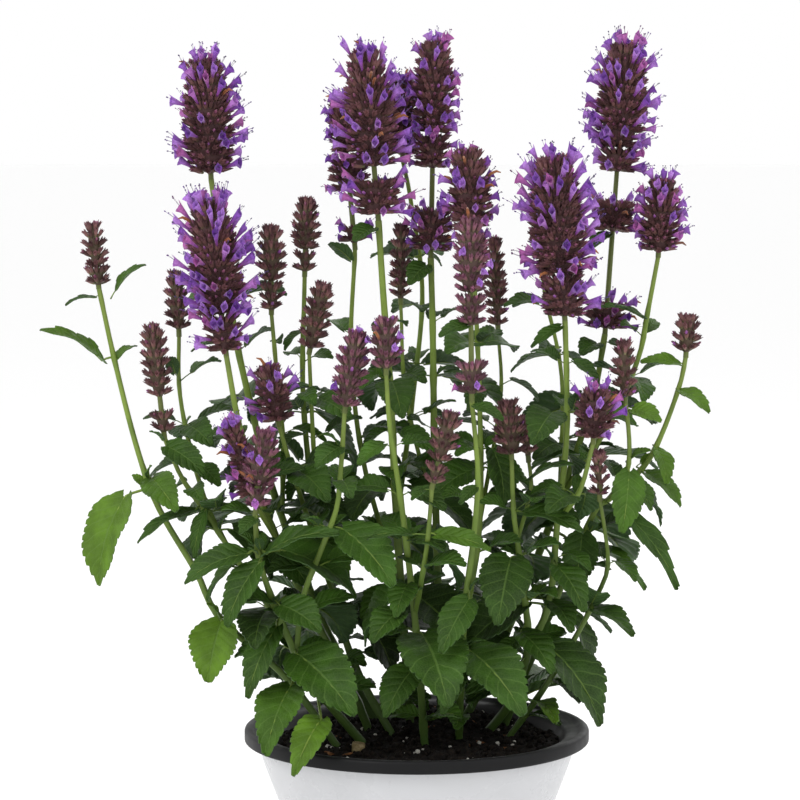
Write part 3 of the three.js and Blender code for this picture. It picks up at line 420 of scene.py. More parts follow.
STEMS: tuple[Stem, ...] = (
    Stem("far_left", "far_left", (3.8, 2.2), (
        (-40, -16, 82), (-65, -20, 117), (-97, -15, 145), (-109, -12, 168), (-125, -8, 194),
        (-133, -6, 212), (-141, -4, 238), (-150, -2, 275), (-157, 0, 308), (-160, 0, 339))),
    Stem("left_low", "left_low", (4.5, 2.3), (
        (-26, -8, 80), (-52, -24, 115), (-59, -28, 129), (-71, -38, 160), (-77, -42, 181),
        (-78, -44, 201), (-73, -46, 241)),
        Pairs(22, 150, 55, 20, 1.05)),
    Stem("left_low", "left_outer", (3.1, 2.2), (
        (-59, -28, 129), (-75, -20, 155), (-94, -14, 182), (-106, -12, 200), (-116, -12, 215),
        (-124, -14, 235), (-130, -14, 290)),
        Pairs(26, 110, 48, 70, 0.85)),
    Stem("left_low", "left_back", (2.5, 2), (
        (-94, -14, 182), (-104, -4, 200), (-113, 2, 230), (-118, 6, 257), (-118, 6, 284),
        (-119, 6, 315)),
        Pairs(18, 90, 46, 10, 0.62)),
    Stem("left_low", "left_inner", (3.1, 2.2), (
        (-59, -28, 129), (-56, -36, 157), (-46, -40, 184), (-39, -42, 203), (-37, -40, 221),
        (-35, -38, 250), (-29, -36, 288)),
        Pairs(24, 84, 44, 60, 0.9)),
    Stem("left_tall", "left_tall", (4.5, 2.7), (
        (-23, 18, 80), (-33, 15, 104), (-58, 5, 156), (-77, -8, 203), (-87, -18, 241),
        (-93, -22, 276), (-102, -24, 355)),
        Pairs(30, 200, 52, 35, 1)),
    Stem("left_tall", "left_low_side", (2.7, 2), (
        (-63, 2, 167), (-70, -16, 186), (-80, -30, 206), (-91, -38, 248)),
        Pairs(20, 40, 41, 80, 0.75)),
    Stem("left_tallest", "left_tallest", (4.5, 2.9), (
        (-19, 34, 81), (-44, 34, 127), (-71, 26, 199), (-86, 18, 260), (-92, 16, 292),
        (-102, 12, 361), (-105, 8, 424)),
        Pairs(34, 262, 55, 5, 1.05)),
    Stem("left_tallest", "left_tall_side", (2.7, 2), (
        (-68, 28, 189), (-67, 14, 231), (-70, 4, 271), (-72, 4, 295), (-72, 4, 338)),
        Pairs(24, 100, 46, 55, 0.75)),
    Stem("mid_left", "mid_left", (4.3, 2.3), (
        (-11, 6, 80), (-34, 14, 124), (-50, 20, 189), (-57, 24, 250), (-56, 20, 313),
        (-55, 20, 351)),
        Pairs(32, 214, 52, 75, 0.95)),
    Stem("mid_left", "mid_left_low", (2.7, 2.2), (
        (-43, 16, 155), (-60, -4, 212), (-68, -12, 241), (-74, -14, 274)),
        Pairs(26, 84, 44, 20, 0.8)),
    Stem("mid_left", "mid_left_side", (2.5, 2), (
        (-50, 20, 189), (-52, 4, 242), (-53, -6, 276), (-46, -8, 310)),
        Pairs(24, 80, 44, 50, 0.7)),
    Stem("centre_tall", "centre_tall", (4.6, 3.2), (
        (-3, 17, 82), (-6, 15, 129), (-10, 8, 191), (-13, 2, 252), (-17, 0, 310), (-19, 0, 341),
        (-26, 0, 428)),
        Pairs(30, 222, 54, 15, 1)),
    Stem("centre_tall", "centre_tall_back", (2.9, 2.2), (
        (-10, 8, 191), (-2, 40, 248), (3, 45, 303), (-3, 45, 350), (-7, 45, 370), (-7, 42, 414)),
        Pairs(30, 150, 55, 60, 0.8)),
    Stem("centre_tall", "centre_tall_side", (2.9, 2.2), (
        (-8, 12, 155), (-26, 28, 214), (-33, 32, 270), (-31, 31, 326), (-38, 31, 404)),
        Pairs(30, 130, 52, 40, 0.85)),
    Stem("centre_front", "centre_front", (4.3, 2.2), (
        (4, -12, 80), (0, -25, 136), (-7, -40, 200), (-13, -44, 241), (-15, -44, 269),
        (-15, -44, 295)),
        Pairs(26, 172, 49, 30, 0.95)),
    Stem("centre_front", "centre_low", (2.7, 2), (
        (-1, -28, 150), (2, -42, 168), (5, -52, 190), (7, -54, 215), (16, -54, 251)),
        Pairs(14, 40, 35, 0, 0.9)),
    Stem("centre_right_tall", "centre_right_tall", (4.5, 3.1), (
        (13, 24, 82), (11, 24, 148), (9, 22, 225), (8, 20, 287), (7, 18, 322), (9, 18, 433)),
        Pairs(30, 212, 54, 65, 1)),
    Stem("centre_right_tall", "centre_bud", (2.5, 1.8), (
        (10, 24, 189), (-5, 20, 250), (-8, 20, 299), (-8, 20, 338)),
        Pairs(30, 100, 48, 25, 0.6)),
    Stem("front_bud", "front_bud", (4.3, 2.2), (
        (21, 0, 80), (22, -30, 132), (24, -42, 163), (27, -48, 189), (29, -50, 216),
        (28, -50, 235), (26, -49, 256), (25, -46, 343)),
        Pairs(28, 86, 46, 10, 1)),
    Stem("front_bud", "front_bud_back", (3.1, 2.3), (
        (24, -38, 150), (31, -14, 193), (31, -4, 251), (28, -5, 317), (24, -6, 380)),
        Pairs(34, 150, 52, 50, 0.85)),
    Stem("front_bud", "front_bud_side", (2.3, 1.8), (
        (31, -14, 193), (42, 20, 250), (41, 28, 285), (39, 27, 331)),
        Pairs(30, 84, 46, 20, 0.7)),
    Stem("right_front", "right_front", (4.5, 2.2), (
        (34, 14, 80), (47, 4, 100), (55, -8, 128), (53, -18, 156), (49, -24, 185),
        (47, -26, 201), (46, -26, 226), (44, -26, 254)),
        Pairs(24, 140, 49, 60, 0.95)),
    Stem("right_front", "right_front_side", (2.2, 1.8), (
        (49, -24, 185), (56, -14, 208), (55, -10, 223), (53, -8, 244)),
        Pairs(18, 30, 41, 0, 0.6)),
    Stem("right_front", "right_mid_tall", (3.6, 2.5), (
        (55, -8, 128), (65, -14, 152), (69, -18, 194), (73, -20, 234), (73, -20, 263),
        (72, -20, 293), (65, -22, 376)),
        Pairs(26, 156, 49, 15, 0.95)),
    Stem("right_front", "right_mid_low", (2.5, 2), (
        (69, -18, 194), (79, -30, 210), (85, -38, 235), (86, -40, 265)),
        Pairs(20, 40, 37, 45, 0.7)),
    Stem("right_tall", "right_tall", (4.6, 2.9), (
        (23, 40, 80), (45, 42, 125), (73, 38, 198), (89, 32, 249), (95, 30, 283), (105, 30, 432)),
        Pairs(34, 205, 54, 45, 1.05)),
    Stem("right_tall", "right_tall_side", (2.9, 2.2), (
        (73, 38, 198), (98, 26, 239), (111, 20, 271), (115, 16, 293), (120, 12, 323),
        (122, 12, 365)),
        Pairs(28, 94, 47, 10, 0.8)),
    Stem("right_tall", "right_thin", (2.5, 1.8), (
        (73, 38, 198), (73, 24, 260), (64, 16, 303), (62, 14, 320), (60, 14, 353)),
        Pairs(30, 96, 47, 80, 0.7)),
    Stem("far_right", "far_right", (4.3, 2), (
        (44, 28, 81), (62, 20, 129), (87, 2, 193), (94, 0, 201), (112, 0, 218), (121, 0, 234),
        (130, 0, 259), (133, 0, 274), (134, 0, 294)),
        Pairs(30, 128, 49, 70, 1)),
    Stem("far_right", "far_right_low", (2.5, 2), (
        (94, 0, 201), (100, -16, 212), (103, -26, 222), (103, -28, 237), (101, -28, 254),
        (100, -28, 283)),
        Pairs(20, 30, 41, 30, 0.7)),
    Stem("right_small", "right_small", (3.1, 1.8), (
        (46, 2, 82), (62, -4, 106), (78, -7, 133), (88, -12, 154), (94, -14, 170),
        (92, -20, 190), (89, -28, 206), (88, -32, 230)),
        Pairs(24, 110, 47, 30, 0.8)),
)

HEADS: dict[str, Head] = {
    "far_left": Head(7.5, ((0, 0.25, 6.4), (0.27, 1, 6.4)), Bloom.DARK),
    "left_low": Head(9, ((0.02, 0.3, 6.5), (0.3, 1, 8.6)), Bloom.LILAC),
    "left_outer": Head(9.5, ((0.02, 0.2, 6.2), (0.34, 1, 7.5)), Bloom.DARK),
    "left_back": Head(7.5, ((0.04, 1, 7),), Bloom.DARK),
    "left_inner": Head(9.5, ((0.02, 1, 8.4),), Bloom.LILAC),
    "left_tall": Head(23.5, ((0.01, 0.22, 9.5), (0.24, 1, 13)), Bloom.FULL),
    "left_low_side": Head(11, ((0.03, 1, 6.8),), Bloom.HALF),
    "left_tallest": Head(21.5, ((0.03, 1, 13),), Bloom.FULL),
    "left_tall_side": Head(9, ((0, 0.3, 6), (0.33, 1, 7.8)), Bloom.DARK),
    "mid_left": Head(8.5, ((0, 0.28, 6), (0.3, 1, 7.4)), Bloom.DARK),
    "mid_left_low": Head(16, ((0.02, 1, 9),), Bloom.HALF),
    "mid_left_side": Head(8.5, ((0.02, 1, 7.6),), Bloom.DARK),
    "centre_tall": Head(22.5, ((0.02, 0.2, 11.5), (0.29, 1, 13)), Bloom.FULL),
    "centre_tall_back": Head(13.5, ((0.03, 1, 10),), Bloom.HALF),
    "centre_tall_side": Head(
        13, ((0.02, 0.12, 7.5), (0.36, 0.56, 10.5), (0.6, 1, 9)), Bloom.HALF),
    "centre_front": Head(9, ((0.02, 1, 8.2),), Bloom.LILAC),
    "centre_low": Head(8, ((0.02, 0.26, 6), (0.3, 1, 7.2)), Bloom.DARK),
    "centre_right_tall": Head(
        16, ((0.02, 0.2, 10.5), (0.39, 0.53, 9.5), (0.55, 1, 11)), Bloom.FULL),
    "centre_bud": Head(7, ((0.02, 1, 6),), Bloom.DARK),
    "front_bud": Head(9, ((0.02, 0.2, 7.6), (0.4, 0.56, 7.4), (0.58, 1, 8.6)), Bloom.LILAC),
    "front_bud_back": Head(16.5, ((0.02, 0.2, 8), (0.3, 1, 11)), Bloom.HALF),
    "front_bud_side": Head(6.8, ((0.02, 1, 6),), Bloom.DARK),
    "right_front": Head(9.5, ((0.02, 1, 8.6),), Bloom.DARK),
    "right_front_side": Head(6, ((0.04, 1, 5.2),), Bloom.DARK),
    "right_mid_tall": Head(24, ((0.01, 0.24, 11), (0.26, 1, 14)), Bloom.FULL),
    "right_mid_low": Head(17.5, ((0.03, 1, 10),), Bloom.HALF),
    "right_tall": Head(
        21, ((0.01, 0.09, 11.5), (0.34, 0.43, 11), (0.54, 0.61, 10), (0.62, 1, 13)), Bloom.FULL),
    "right_tall_side": Head(16.5, ((0.02, 1, 10.5),), Bloom.FULL),
    "right_thin": Head(7, ((0.02, 1, 6.2),), Bloom.DARK),
    "far_right": Head(8.5, ((0.02, 1, 7.4),), Bloom.DARK),
    "far_right_low": Head(7.5, ((0.02, 1, 6.6),), Bloom.DARK),
    "right_small": Head(5.5, ((0.05, 1, 4.6),), Bloom.DARK),
}

LEAVES: tuple[tuple[str, tuple[Blade, ...]], ...] = (
    ("stems_far_left", (
        Blade((-144, -8, 205), (-157, -20, 162), 27, 0.95),
        Blade((-155, -4, 272), (-184, -14, 289), 12, 0.75),
        Blade((-148, -3, 273), (-139, 6, 279), 7, 0.8),
        Blade((-131, -8, 214), (-105, -24, 205), 18, 0.7),
        Blade((-96, -22, 145), (-102, -36, 117), 25, 0.95),
        Blade((-159, -2, 303), (-173, -8, 300), 6))),
    ("stems_left_low", (
        Blade((-109, -16, 199), (-137, -28, 185), 10), Blade((-104, -20, 199), (-114, -30, 180), 8),
        Blade((-82, -48, 182), (-112, -58, 170), 18), Blade((-73, -47, 182), (-38, -60, 195), 15),
        Blade((-81, -35, 181), (-103, -34, 157), 14), Blade((-76, -52, 178), (-92, -62, 149), 17),
        Blade((-66, -48, 157), (-46, -62, 147), 20), Blade((-68, -44, 146), (-82, -60, 114), 16),
        Blade((-61, -44, 117), (-72, -84, 92), 23, 0.6),
        Blade((-46, -62, 104), (-58, -98, 86), 17, 0.85),
        Blade((-37, -42, 233), (-49, -50, 224), 14), Blade((-123, -18, 231), (-103, -28, 218), 15),
        Blade((-78, -48, 199), (-85, -56, 193), 9))),
    ("stems_left_tall", (Blade((-33, 6, 116), (-51, -10, 108), 17),)),
    ("stems_mid_left", (Blade((-57, 17, 285), (-66, 9, 276), 9),)),
    ("stems_centre_front", (
        Blade((-2, -32, 123), (-16, -50, 103), 19), Blade((-8, -46, 154), (-22, -62, 142), 17),
        Blade((3, -56, 214), (-3, -62, 210), 6), Blade((-3, -52, 192), (-24, -62, 192), 7),
        Blade((9, -54, 192), (35, -66, 187), 11, 0.7))),
    ("stems_front_bud", (
        Blade((21, -36, 128), (12, -54, 105), 15), Blade((25, -48, 160), (11, -66, 137), 17),
        Blade((27, -53, 254), (41, -60, 248), 8), Blade((28, -54, 215), (20, -62, 208), 7))),
    ("stems_right_front", (
        Blade((51, -20, 139), (66, -42, 123), 17), Blade((68, -26, 173), (81, -46, 154), 17),
        Blade((55, -20, 215), (76, -32, 224), 9), Blade((51, -32, 200), (80, -50, 193), 13),
        Blade((49, -20, 121), (24, -46, 115), 15), Blade((70, -23, 290), (53, -30, 286), 7))),
    ("stems_right_small", (
        Blade((82, -8, 149), (106, -32, 140), 17), Blade((58, -2, 101), (68, -36, 98), 13, 0.9))),
    ("stems_right_tall", (
        Blade((78, 28, 178), (116, 8, 158), 23, 0.6), Blade((113, 14, 292), (89, 8, 298), 8),
        Blade((62, 11, 300), (43, 4, 299), 11))),
    ("stems_far_right", (
        Blade((97, -20, 202), (128, -34, 163), 13), Blade((54, 16, 101), (81, -14, 109), 20, 0.75),
        Blade((103, -31, 220), (99, -42, 191), 17, 0.6),
        Blade((130, -3, 257), (144, -12, 247), 11, 0.8),
        Blade((119, -3, 228), (123, -16, 212), 11, 0.75),
        Blade((113, -2, 216), (129, -12, 200), 14, 0.7),
        Blade((104, -29, 250), (118, -37, 245), 12, 0.85),
        Blade((130, -1, 270), (110, -8, 272), 8, 0.8))),
    ("stems_right_tall", (
        Blade((91, 28, 278), (82, 18, 273), 13), Blade((98, 28, 278), (107, 18, 272), 12))),
    ("head_right_tall", (Blade((97, 28, 333), (85, 20, 325), 9),)),
    ("stems_centre_right_tall", (Blade((5, 15, 318), (-4, 5, 309), 13),)),
    ("stems_centre_tall", (
        Blade((-21, -3, 337), (-31, -12, 331), 13), Blade((-33, 28, 320), (-44, 19, 329), 8))),
    ("head_front_bud", (Blade((24, -50, 292), (10, -58, 288), 9),)),
)


# How leaves keep clear of what already stands, and how far they turn to find room
LEAF_ROOM = {"other": 4.4, "own": 3.2, "stem": 1.6, "head": 1.2}
RIM_ROOM = (92.0, 91.5)
TURNS = (
    (0, 0, 1), (14, 0, 1), (-14, 0, 1), (0, -18, 1), (0, 16, 1), (28, -8, 0.95), (-28, -8, 0.95),
    (14, 24, 0.9), (-14, 24, 0.9), (42, 0, 0.9), (-42, 0, 0.9), (28, -30, 0.85),
    (-28, -30, 0.85), (0, 36, 0.8), (56, 8, 0.8), (-56, 8, 0.8), (0, -40, 0.75),
    (24, 10, 0.62), (-24, 10, 0.62), (0, 0, 0.55),
)
STALK_SAMPLES = (0.45, 0.75)
SPINE_SAMPLES = (0.02, 0.13, 0.25, 0.37, 0.49, 0.61, 0.73, 0.86, 1.0)
ROW_SAMPLES = (0.08, 0.2, 0.32, 0.44, 0.57, 0.7, 0.84)
EDGE_SAMPLES = (1.0, 0.67, 0.34, -0.34, -0.67, -1.0)

# How far round a leaf is looked, and the steps, ends and widths that stems are measured with
LOOK_AROUND = 26
FINE_STEP = 1.0
COARSE_STEP = 5.0
ROOT_DEPTH = 12.0
HEAD_GAP = 0.45
STEM_STEP = 36.0
RACHIS_RADIUS = 1.4
UP = np.array((0.0, 0.0, 1.0))

# The smaller leaves of side twigs: their room, and the ranges that their measures come from
TWIG_ROOM = {"other": 2.3, "own": 1.8, "stem": 0.8, "head": 1.2}
TWIG_TURN = (-25, 25)
TWIG_BLADE = (15, 25)
TWIG_STALK = (4, 9)
TWIG_RISE = (-40, 25)
TWIG_TONE = (0.15, 0.6)
TWIG_SLENDERNESS = 0.62

# One more leaf near the top of the far left stem: its node, and its blade's base from there
TOP_NODE = (-151.0, -2.0, 302.0)
TOP_BASE = (3.0, -1.0, 5.0)


class Draws:
    """A repeatable source of draws between 0 and 1."""

    def __init__(self, seed: int) -> None:
        """Starts the draws from a seed."""
        self.state = seed

    def __call__(self) -> float:
        """Gives the next draw."""
        self.state = (self.state * 1664525 + 1013904223) % 4294967296
        return self.state / 4294967296

    def between(self, low: float, high: float) -> float:
        """Gives a draw between two values."""
        return low + (high - low) * self()


def unit(vector: np.ndarray) -> np.ndarray:
    """Gives a vector's direction, or the vector itself where it has no length."""
    length = np.linalg.norm(vector)
    return vector / length if length else vector


def blade_width(along: float) -> float:
    """Gives a blade's share of its full width at a share of its length."""
    return max(0.0, math.sin(math.pi * along ** 0.7)) ** 0.75


def spike_width(along: float) -> float:
    """Gives a flower spike's share of its full width at a share of its length."""
    if along < 0.3:
        return 0.8 + 0.2 * math.sin(along / 0.3 * math.pi / 2)
    return math.cos((along - 0.3) / 0.7 * 1.25) ** 0.8


class Route:
    """A smooth curve through points, measured in 200 parts to give even steps."""

    PARTS = 200

    def __init__(self, points: Sequence[np.ndarray]) -> None:
        """Measures the curve through the points.

        Args:
            points: the points that the curve passes through, in order.
        """
        self.points = [np.array(point, dtype=float) for point in points]
        self.shares = np.linspace(0, 1, self.PARTS + 1)
        self.table = np.array([self.at(k / self.PARTS) for k in range(self.PARTS + 1)])
        steps = np.linalg.norm(np.diff(self.table, axis=0), axis=1)
        self.lengths = np.concatenate(((0.0,), np.cumsum(steps)))

    def at(self, t: float) -> np.ndarray:
        """Gives the point at a share of the way through the points.

        Args:
            t: from 0 at the first point to 1 at the last.

        Returns:
            The point, in millimetres.
        """
        last = len(self.points) - 1
        place = last * t
        start = min(int(place), last - 1)
        weight = place - start
        p1, p2 = self.points[start], self.points[start + 1]
        p0 = self.points[start - 1] if start > 0 else 2 * p1 - p2
        p3 = self.points[start + 2] if start + 2 <= last else 2 * p2 - p1
        t0, t1 = 0.5 * (p2 - p0), 0.5 * (p3 - p1)
        c2 = -3 * p1 + 3 * p2 - 2 * t0 - t1
        c3 = 2 * p1 - 2 * p2 + t0 + t1
        return p1 + t0 * weight + c2 * weight ** 2 + c3 * weight ** 3

    @property
    def length(self) -> float:
        """The curve's length in millimetres."""
        return float(self.lengths[-1])

    def spaced(self, steps: int) -> list[np.ndarray]:
        """Gives points at even distances along the curve, both ends included."""
        wanted = [self.length * k / steps for k in range(steps + 1)]
        return [self.at(float(np.interp(distance, self.lengths, self.shares)))
                for distance in wanted]


@dataclass
class LeafFrame:
    """A blade's frame: its midrib runs from base to tip in a low arch.

    The last three numbers turn its face outwards, sideways and to the front.
    """

    root: np.ndarray
    base: np.ndarray
    tip: np.ndarray
    arch: float = 0.35
    fold: float = 0.32
    turn: float = 0.6
    outward: float = 0.35
    sideways: float = 0.3
    front: float = -20.0

    def __post_init__(self) -> None:
        """Works out the blade's forward, upward and across directions."""
        self.chord = self.tip - self.base
        self.length = float(np.linalg.norm(self.chord))
        outward = unit((self.base - self.root) * (1, 1, 0))
        level = unit(self.chord * (1, 1, 0) + outward * self.outward * self.length)
        rise = math.atan2(self.chord[2], float(self.chord @ level))
        self.forward = unit(self.chord)
        upward = level * -math.sin(rise) + UP * math.cos(rise)
        faced = np.array((self.base[0] * self.sideways, self.base[1] + self.front, 0))
        upward = upward + unit(faced) * self.turn
        self.upward = unit(upward - self.forward * float(upward @ self.forward))
        self.across = np.cross(self.forward, self.upward)

    def faced(self, towards: float) -> None:
        """Rolls the blade round its midrib to show more of its face to the front.

        Args:
            towards: how strongly, from 0 for not at all.
        """
        upward = self.upward + np.array((0.0, -1.0, 0.0)) * towards
        self.upward = unit(upward - self.forward * float(upward @ self.forward))
        self.across = np.cross(self.forward, self.upward)

    def at(self, along: float, side: float) -> np.ndarray:
        """Gives a point of the blade.

        Args:
            along: the share of the way from base to tip.
            side: how far to the side of the midrib, in millimetres.

        Returns:
            The point, in millimetres.
        """
        bulge = self.length * self.arch * along * (1 - along)
        return (self.base + self.chord * along + self.upward * (bulge + abs(side) * self.fold)
                + self.across * side)

    def samples(self, width: float) -> np.ndarray:
        """Gives the points that stand for the leaf while room is looked for."""
        points = [self.root + (self.base - self.root) * along for along in STALK_SAMPLES]
        points += [self.at(along, 0.0) for along in SPINE_SAMPLES]
        for along in ROW_SAMPLES:
            half = width / 2 * blade_width(along)
            points += [self.at(along, half * share) for share in EDGE_SAMPLES]
        return np.array(points)


@dataclass
class GrownLeaf:
    """A leaf that found room: its frame, its width and how sunlit it is."""

    place: LeafFrame
    width: float
    tone: float


@dataclass
class Growth:
    """Places every leaf of the plant by the same rule as the solids.

    Low and high are each a height, and the length, petiole and rise in degrees of leaves there.
    """

    pair_seed: int = 77
    twig_seed: int = 2024
    tone_seed: int = 31
    low: tuple[float, float, float, float] = (110, 52, 12, -44)
    high: tuple[float, float, float, float] = (300, 30, 5, -14)
    slenderness: float = 0.66
    room: dict[str, float] = field(default_factory=lambda: dict(LEAF_ROOM))
    leaves: dict[str, list[GrownLeaf]] = field(default_factory=dict)

    def __post_init__(self) -> None:
        """Sets up the empty lists of what stands where."""
        self.owners: list[str] = []
        self.kinds: list[str] = []
        self.carriers: list[str] = []
        self.numbers: list[tuple[float, ...]] = []
        self.routes: dict[str, list[np.ndarray]] = {}
        self.tones = Draws(self.tone_seed)

    def curve(self, stem: Stem) -> Route:
        """Gives a stem's curve, from its root or fork to just under its head."""
        points = [np.array(point, dtype=float) for point in stem.route]
        head = points.pop()
        points[-1] = points[-1] - unit(head - points[-1]) * HEAD_GAP
        if self.is_rooted(stem):
            down = unit(np.array(stem.route[0], dtype=float) - np.array(stem.route[1], dtype=float))
            points.insert(0, points[0] + down * ROOT_DEPTH)
        return Route(points)

    def is_rooted(self, stem: Stem) -> bool:
        """Tells whether a stem stands in the soil, rather than on another stem."""
        return next(other for other in STEMS if other.shoot == stem.shoot) is stem

    def along(self, stem: Stem, spacing: float) -> list[np.ndarray]:
        """Gives points along a stem's straight stretches, no further apart than a spacing."""
        curve = self.curve(stem)
        stations = curve.spaced(max(3, math.floor(curve.length / STEM_STEP + 0.5)))
        points = [stations[0]]
        for start, end in zip(stations, stations[1:]):
            count = math.ceil(float(np.linalg.norm(end - start)) / spacing)
            points += [start + (end - start) * (j / count) for j in range(1, count + 1)]
        return points

    def occupy(self, owner: str, kind: str, point: np.ndarray, radius: float,
               carrier: str = "", core: float = 0.0) -> None:
        """Keeps a point of a piece that leaves have to stay clear of.

        Args:
            owner: the node that the point belongs to.
            kind: stem, head or leaf.
            point: the place, in millimetres.
            radius: how thick the piece is there.
            carrier: the shoot that carries a head.
            core: how far that shoot's own leaves stay from the head.
        """
        self.owners.append(owner)
        self.kinds.append(kind)
        self.carriers.append(carrier)
        self.numbers.append((*point, radius, core))

    def room_around(self, owner: str) -> tuple[np.ndarray, np.ndarray]:
        """Gives all points that stand, and the room that an owner's leaves leave to each."""
        table = np.array(self.numbers)
        own = np.array([other == owner for other in self.owners])
        carried = np.array([carrier == owner for carrier in self.carriers])
        leaf = np.array([kind == "leaf" for kind in self.kinds])
        margin = np.array([self.room.get(kind, 0.0) for kind in self.kinds])
        room = np.where(own, 0.0, table[:, 3] + margin)
        room = np.where(carried, table[:, 4], room)
        room = np.where(leaf, np.where(own, self.room["own"], self.room["other"]), room)
        return table[:, :3], room

    def is_clear(self, samples: np.ndarray, points: np.ndarray, room: np.ndarray) -> bool:
        """Tells whether a leaf's points have the room they need."""
        over_pot = np.hypot(samples[:, 0], samples[:, 1]) < RIM_ROOM[0]
        if (over_pot & (samples[:, 2] < RIM_ROOM[1])).any():
            return False
        low, high = samples.min(axis=0) - LOOK_AROUND, samples.max(axis=0) + LOOK_AROUND
        near = ((points > low) & (points < high)).all(axis=1)
        gaps = samples[:, None, :] - points[None, near, :]
        return bool(((gaps ** 2).sum(axis=2) >= room[near] ** 2).all())

    def grow(self, owner: str, root: np.ndarray, base: np.ndarray, heading: float, rise: float,
             blade: float, width: float, tone: float) -> None:
        """Grows a leaf at the first turn that is clear. Where none is, it is left out.

        Args:
            owner: the shoot or head that the leaf belongs to.
            root: the point of the stem that it grows from.
            base: where its petiole ends and its blade starts.
            heading: the blade's direction seen from above, in radians.
            rise: how far the blade points up, in radians.
            blade: the blade's length.
            width: the blade's width.
            tone: how sunlit the leaf is, from 0 to 1.
        """
        points, room = self.room_around(owner)
        for sideways, upwards, scale in TURNS:
            azimuth = heading + math.radians(sideways)
            lift = rise + math.radians(upwards)
            reach = np.array((math.cos(azimuth) * math.cos(lift),
                              math.sin(azimuth) * math.cos(lift), math.sin(lift)))
            place = LeafFrame(root, base, base + reach * blade * scale)
            samples = place.samples(width * scale)
            if self.is_clear(samples, points, room):
                for sample in samples:
                    self.occupy(owner, "leaf", sample, 0.0)
                leaf = GrownLeaf(place, width * scale, tone)
                self.leaves.setdefault(owner, []).append(leaf)
                return

    def stand(self) -> None:
        """Sets the stems and heads in place, because leaves are bent clear of them."""
        for stem in STEMS:
            shoot, head_name, head = f"stems_{stem.shoot}", f"head_{stem.name}", HEADS[stem.name]
            self.routes.setdefault(shoot, []).extend(self.along(stem, FINE_STEP))
            for point in self.along(stem, COARSE_STEP):
                self.occupy(shoot, "stem", point, stem.widths[0] / 2)
            foot, tip = (np.array(point, dtype=float) for point in stem.route[-2:])
            length = float(np.linalg.norm(tip - foot))
            rows = math.ceil(length / COARSE_STEP)
            for k in range(rows + 1):
                share = k / rows
                point = foot + (tip - foot) * share
                self.routes.setdefault(head_name, []).append(point)
                whorl = next((w for w in head.whorls if w[0] - 0.02 <= share <= w[1] + 0.02), None)
                radius = head.reach if whorl else RACHIS_RADIUS
                core = whorl[2] + LEAF_ROOM["head"] if whorl and share * length > 8.0 else 0.0
                self.occupy(head_name, "head", point, radius, shoot, core)

    def grow_listed(self) -> None:
        """Grows the single leaves that show."""
        for owner, leaves in LEAVES:
            route = np.array(self.routes[owner])
            for leaf in leaves:
                base = np.array(leaf.base, dtype=float)
                chord = np.array(leaf.tip, dtype=float) - base
                root = route[int(np.argmin(np.linalg.norm(route - base, axis=1)))]
                blade = float(np.linalg.norm(chord))
                self.grow(owner, root, base, math.atan2(chord[1], chord[0]),
                          math.asin(chord[2] / blade), blade, leaf.width, leaf.tone)

    def grow_pairs(self) -> None:
        """Grows the pairs of leaves up each stem, each pair a quarter turn on."""
        draw = Draws(self.pair_seed)
        for stem in STEMS:
            if not stem.pairs:
                continue
            points = self.along(stem, FINE_STEP)
            last = min(stem.pairs.last, len(points) - 8)
            pair = 0
            while stem.pairs.first + pair * stem.pairs.step <= last:
                node = points[math.floor(stem.pairs.first + pair * stem.pairs.step + 0.5)]
                self.grow_pair(stem, node, stem.pairs.turn + pair * 90, draw)
                pair += 1

    def grow_pair(self, stem: Stem, node: np.ndarray, turn: float, draw: Draws) -> None:
        """Grows two leaves on opposite sides of a stem.

        Args:
            stem: the stem that carries them.
            node: the point of the stem that they grow from.
            turn: the first leaf's heading, in degrees.
            draw: the draws that vary them.
        """
        share = (node[2] - self.low[0]) / (self.high[0] - self.low[0])
        high = min(1.0, max(0.0, float(share)))
        length, petiole, droop = (low * (1 - high) + up * high
                                  for low, up in zip(self.low[1:], self.high[1:]))
        for side in (0, 180):
            heading = math.radians(turn + side + (draw() - 0.5) * 30)
            rise = math.radians(droop + (draw() - 0.5) * 36)
            blade = length * stem.pairs.size * (1 + (draw() - 0.5) * 0.3)
            stalk = np.array((math.cos(heading), math.sin(heading), 0.12))
            base = node + stalk * petiole * stem.pairs.size
            # Leaves higher up are given a higher sunlit tone: painted light
            tone = 0.08 + 0.34 * self.tones() + 0.1 * high
            self.grow(f"stems_{stem.shoot}", node, base, heading, rise, blade,
                      blade * self.slenderness, tone)

    def grow_side_twigs(self) -> None:
        """Grows the smaller leaves of the short side twigs, at and between the pairs."""
        self.room = TWIG_ROOM
        draw = Draws(self.twig_seed)
        node = np.array(TOP_NODE)
        self.grow("stems_far_left", node, node + TOP_BASE, heading=0.1, rise=0.72, blade=19.0,
                  width=10.0, tone=0.6)
        for stem in STEMS:
            if not stem.pairs:
                continue
            points = self.along(stem, FINE_STEP)
            last = min(stem.pairs.last + 10, len(points) - 14)
            distance, twig = stem.pairs.first, 0
            while distance <= last:
                node = points[math.floor(distance)]
                for side in (0, 180):
                    heading = math.radians(stem.pairs.turn + 90 + twig * 45 + side
                                           + draw.between(*TWIG_TURN))
                    blade = draw.between(*TWIG_BLADE) * min(1.0, 1.35 - node[2] / 500)
                    stalk = np.array((math.cos(heading), math.sin(heading), 0.5))
                    base = node + stalk * draw.between(*TWIG_STALK)
                    rise = math.radians(draw.between(*TWIG_RISE))
                    self.grow(f"stems_{stem.shoot}", node, base, heading, rise, blade,
                              blade * TWIG_SLENDERNESS, draw.between(*TWIG_TONE))
                distance += stem.pairs.step / 2
                twig += 1


LAYERS = ("tone", "share", "along", "under")
CALYX_LENGTH = 6.2


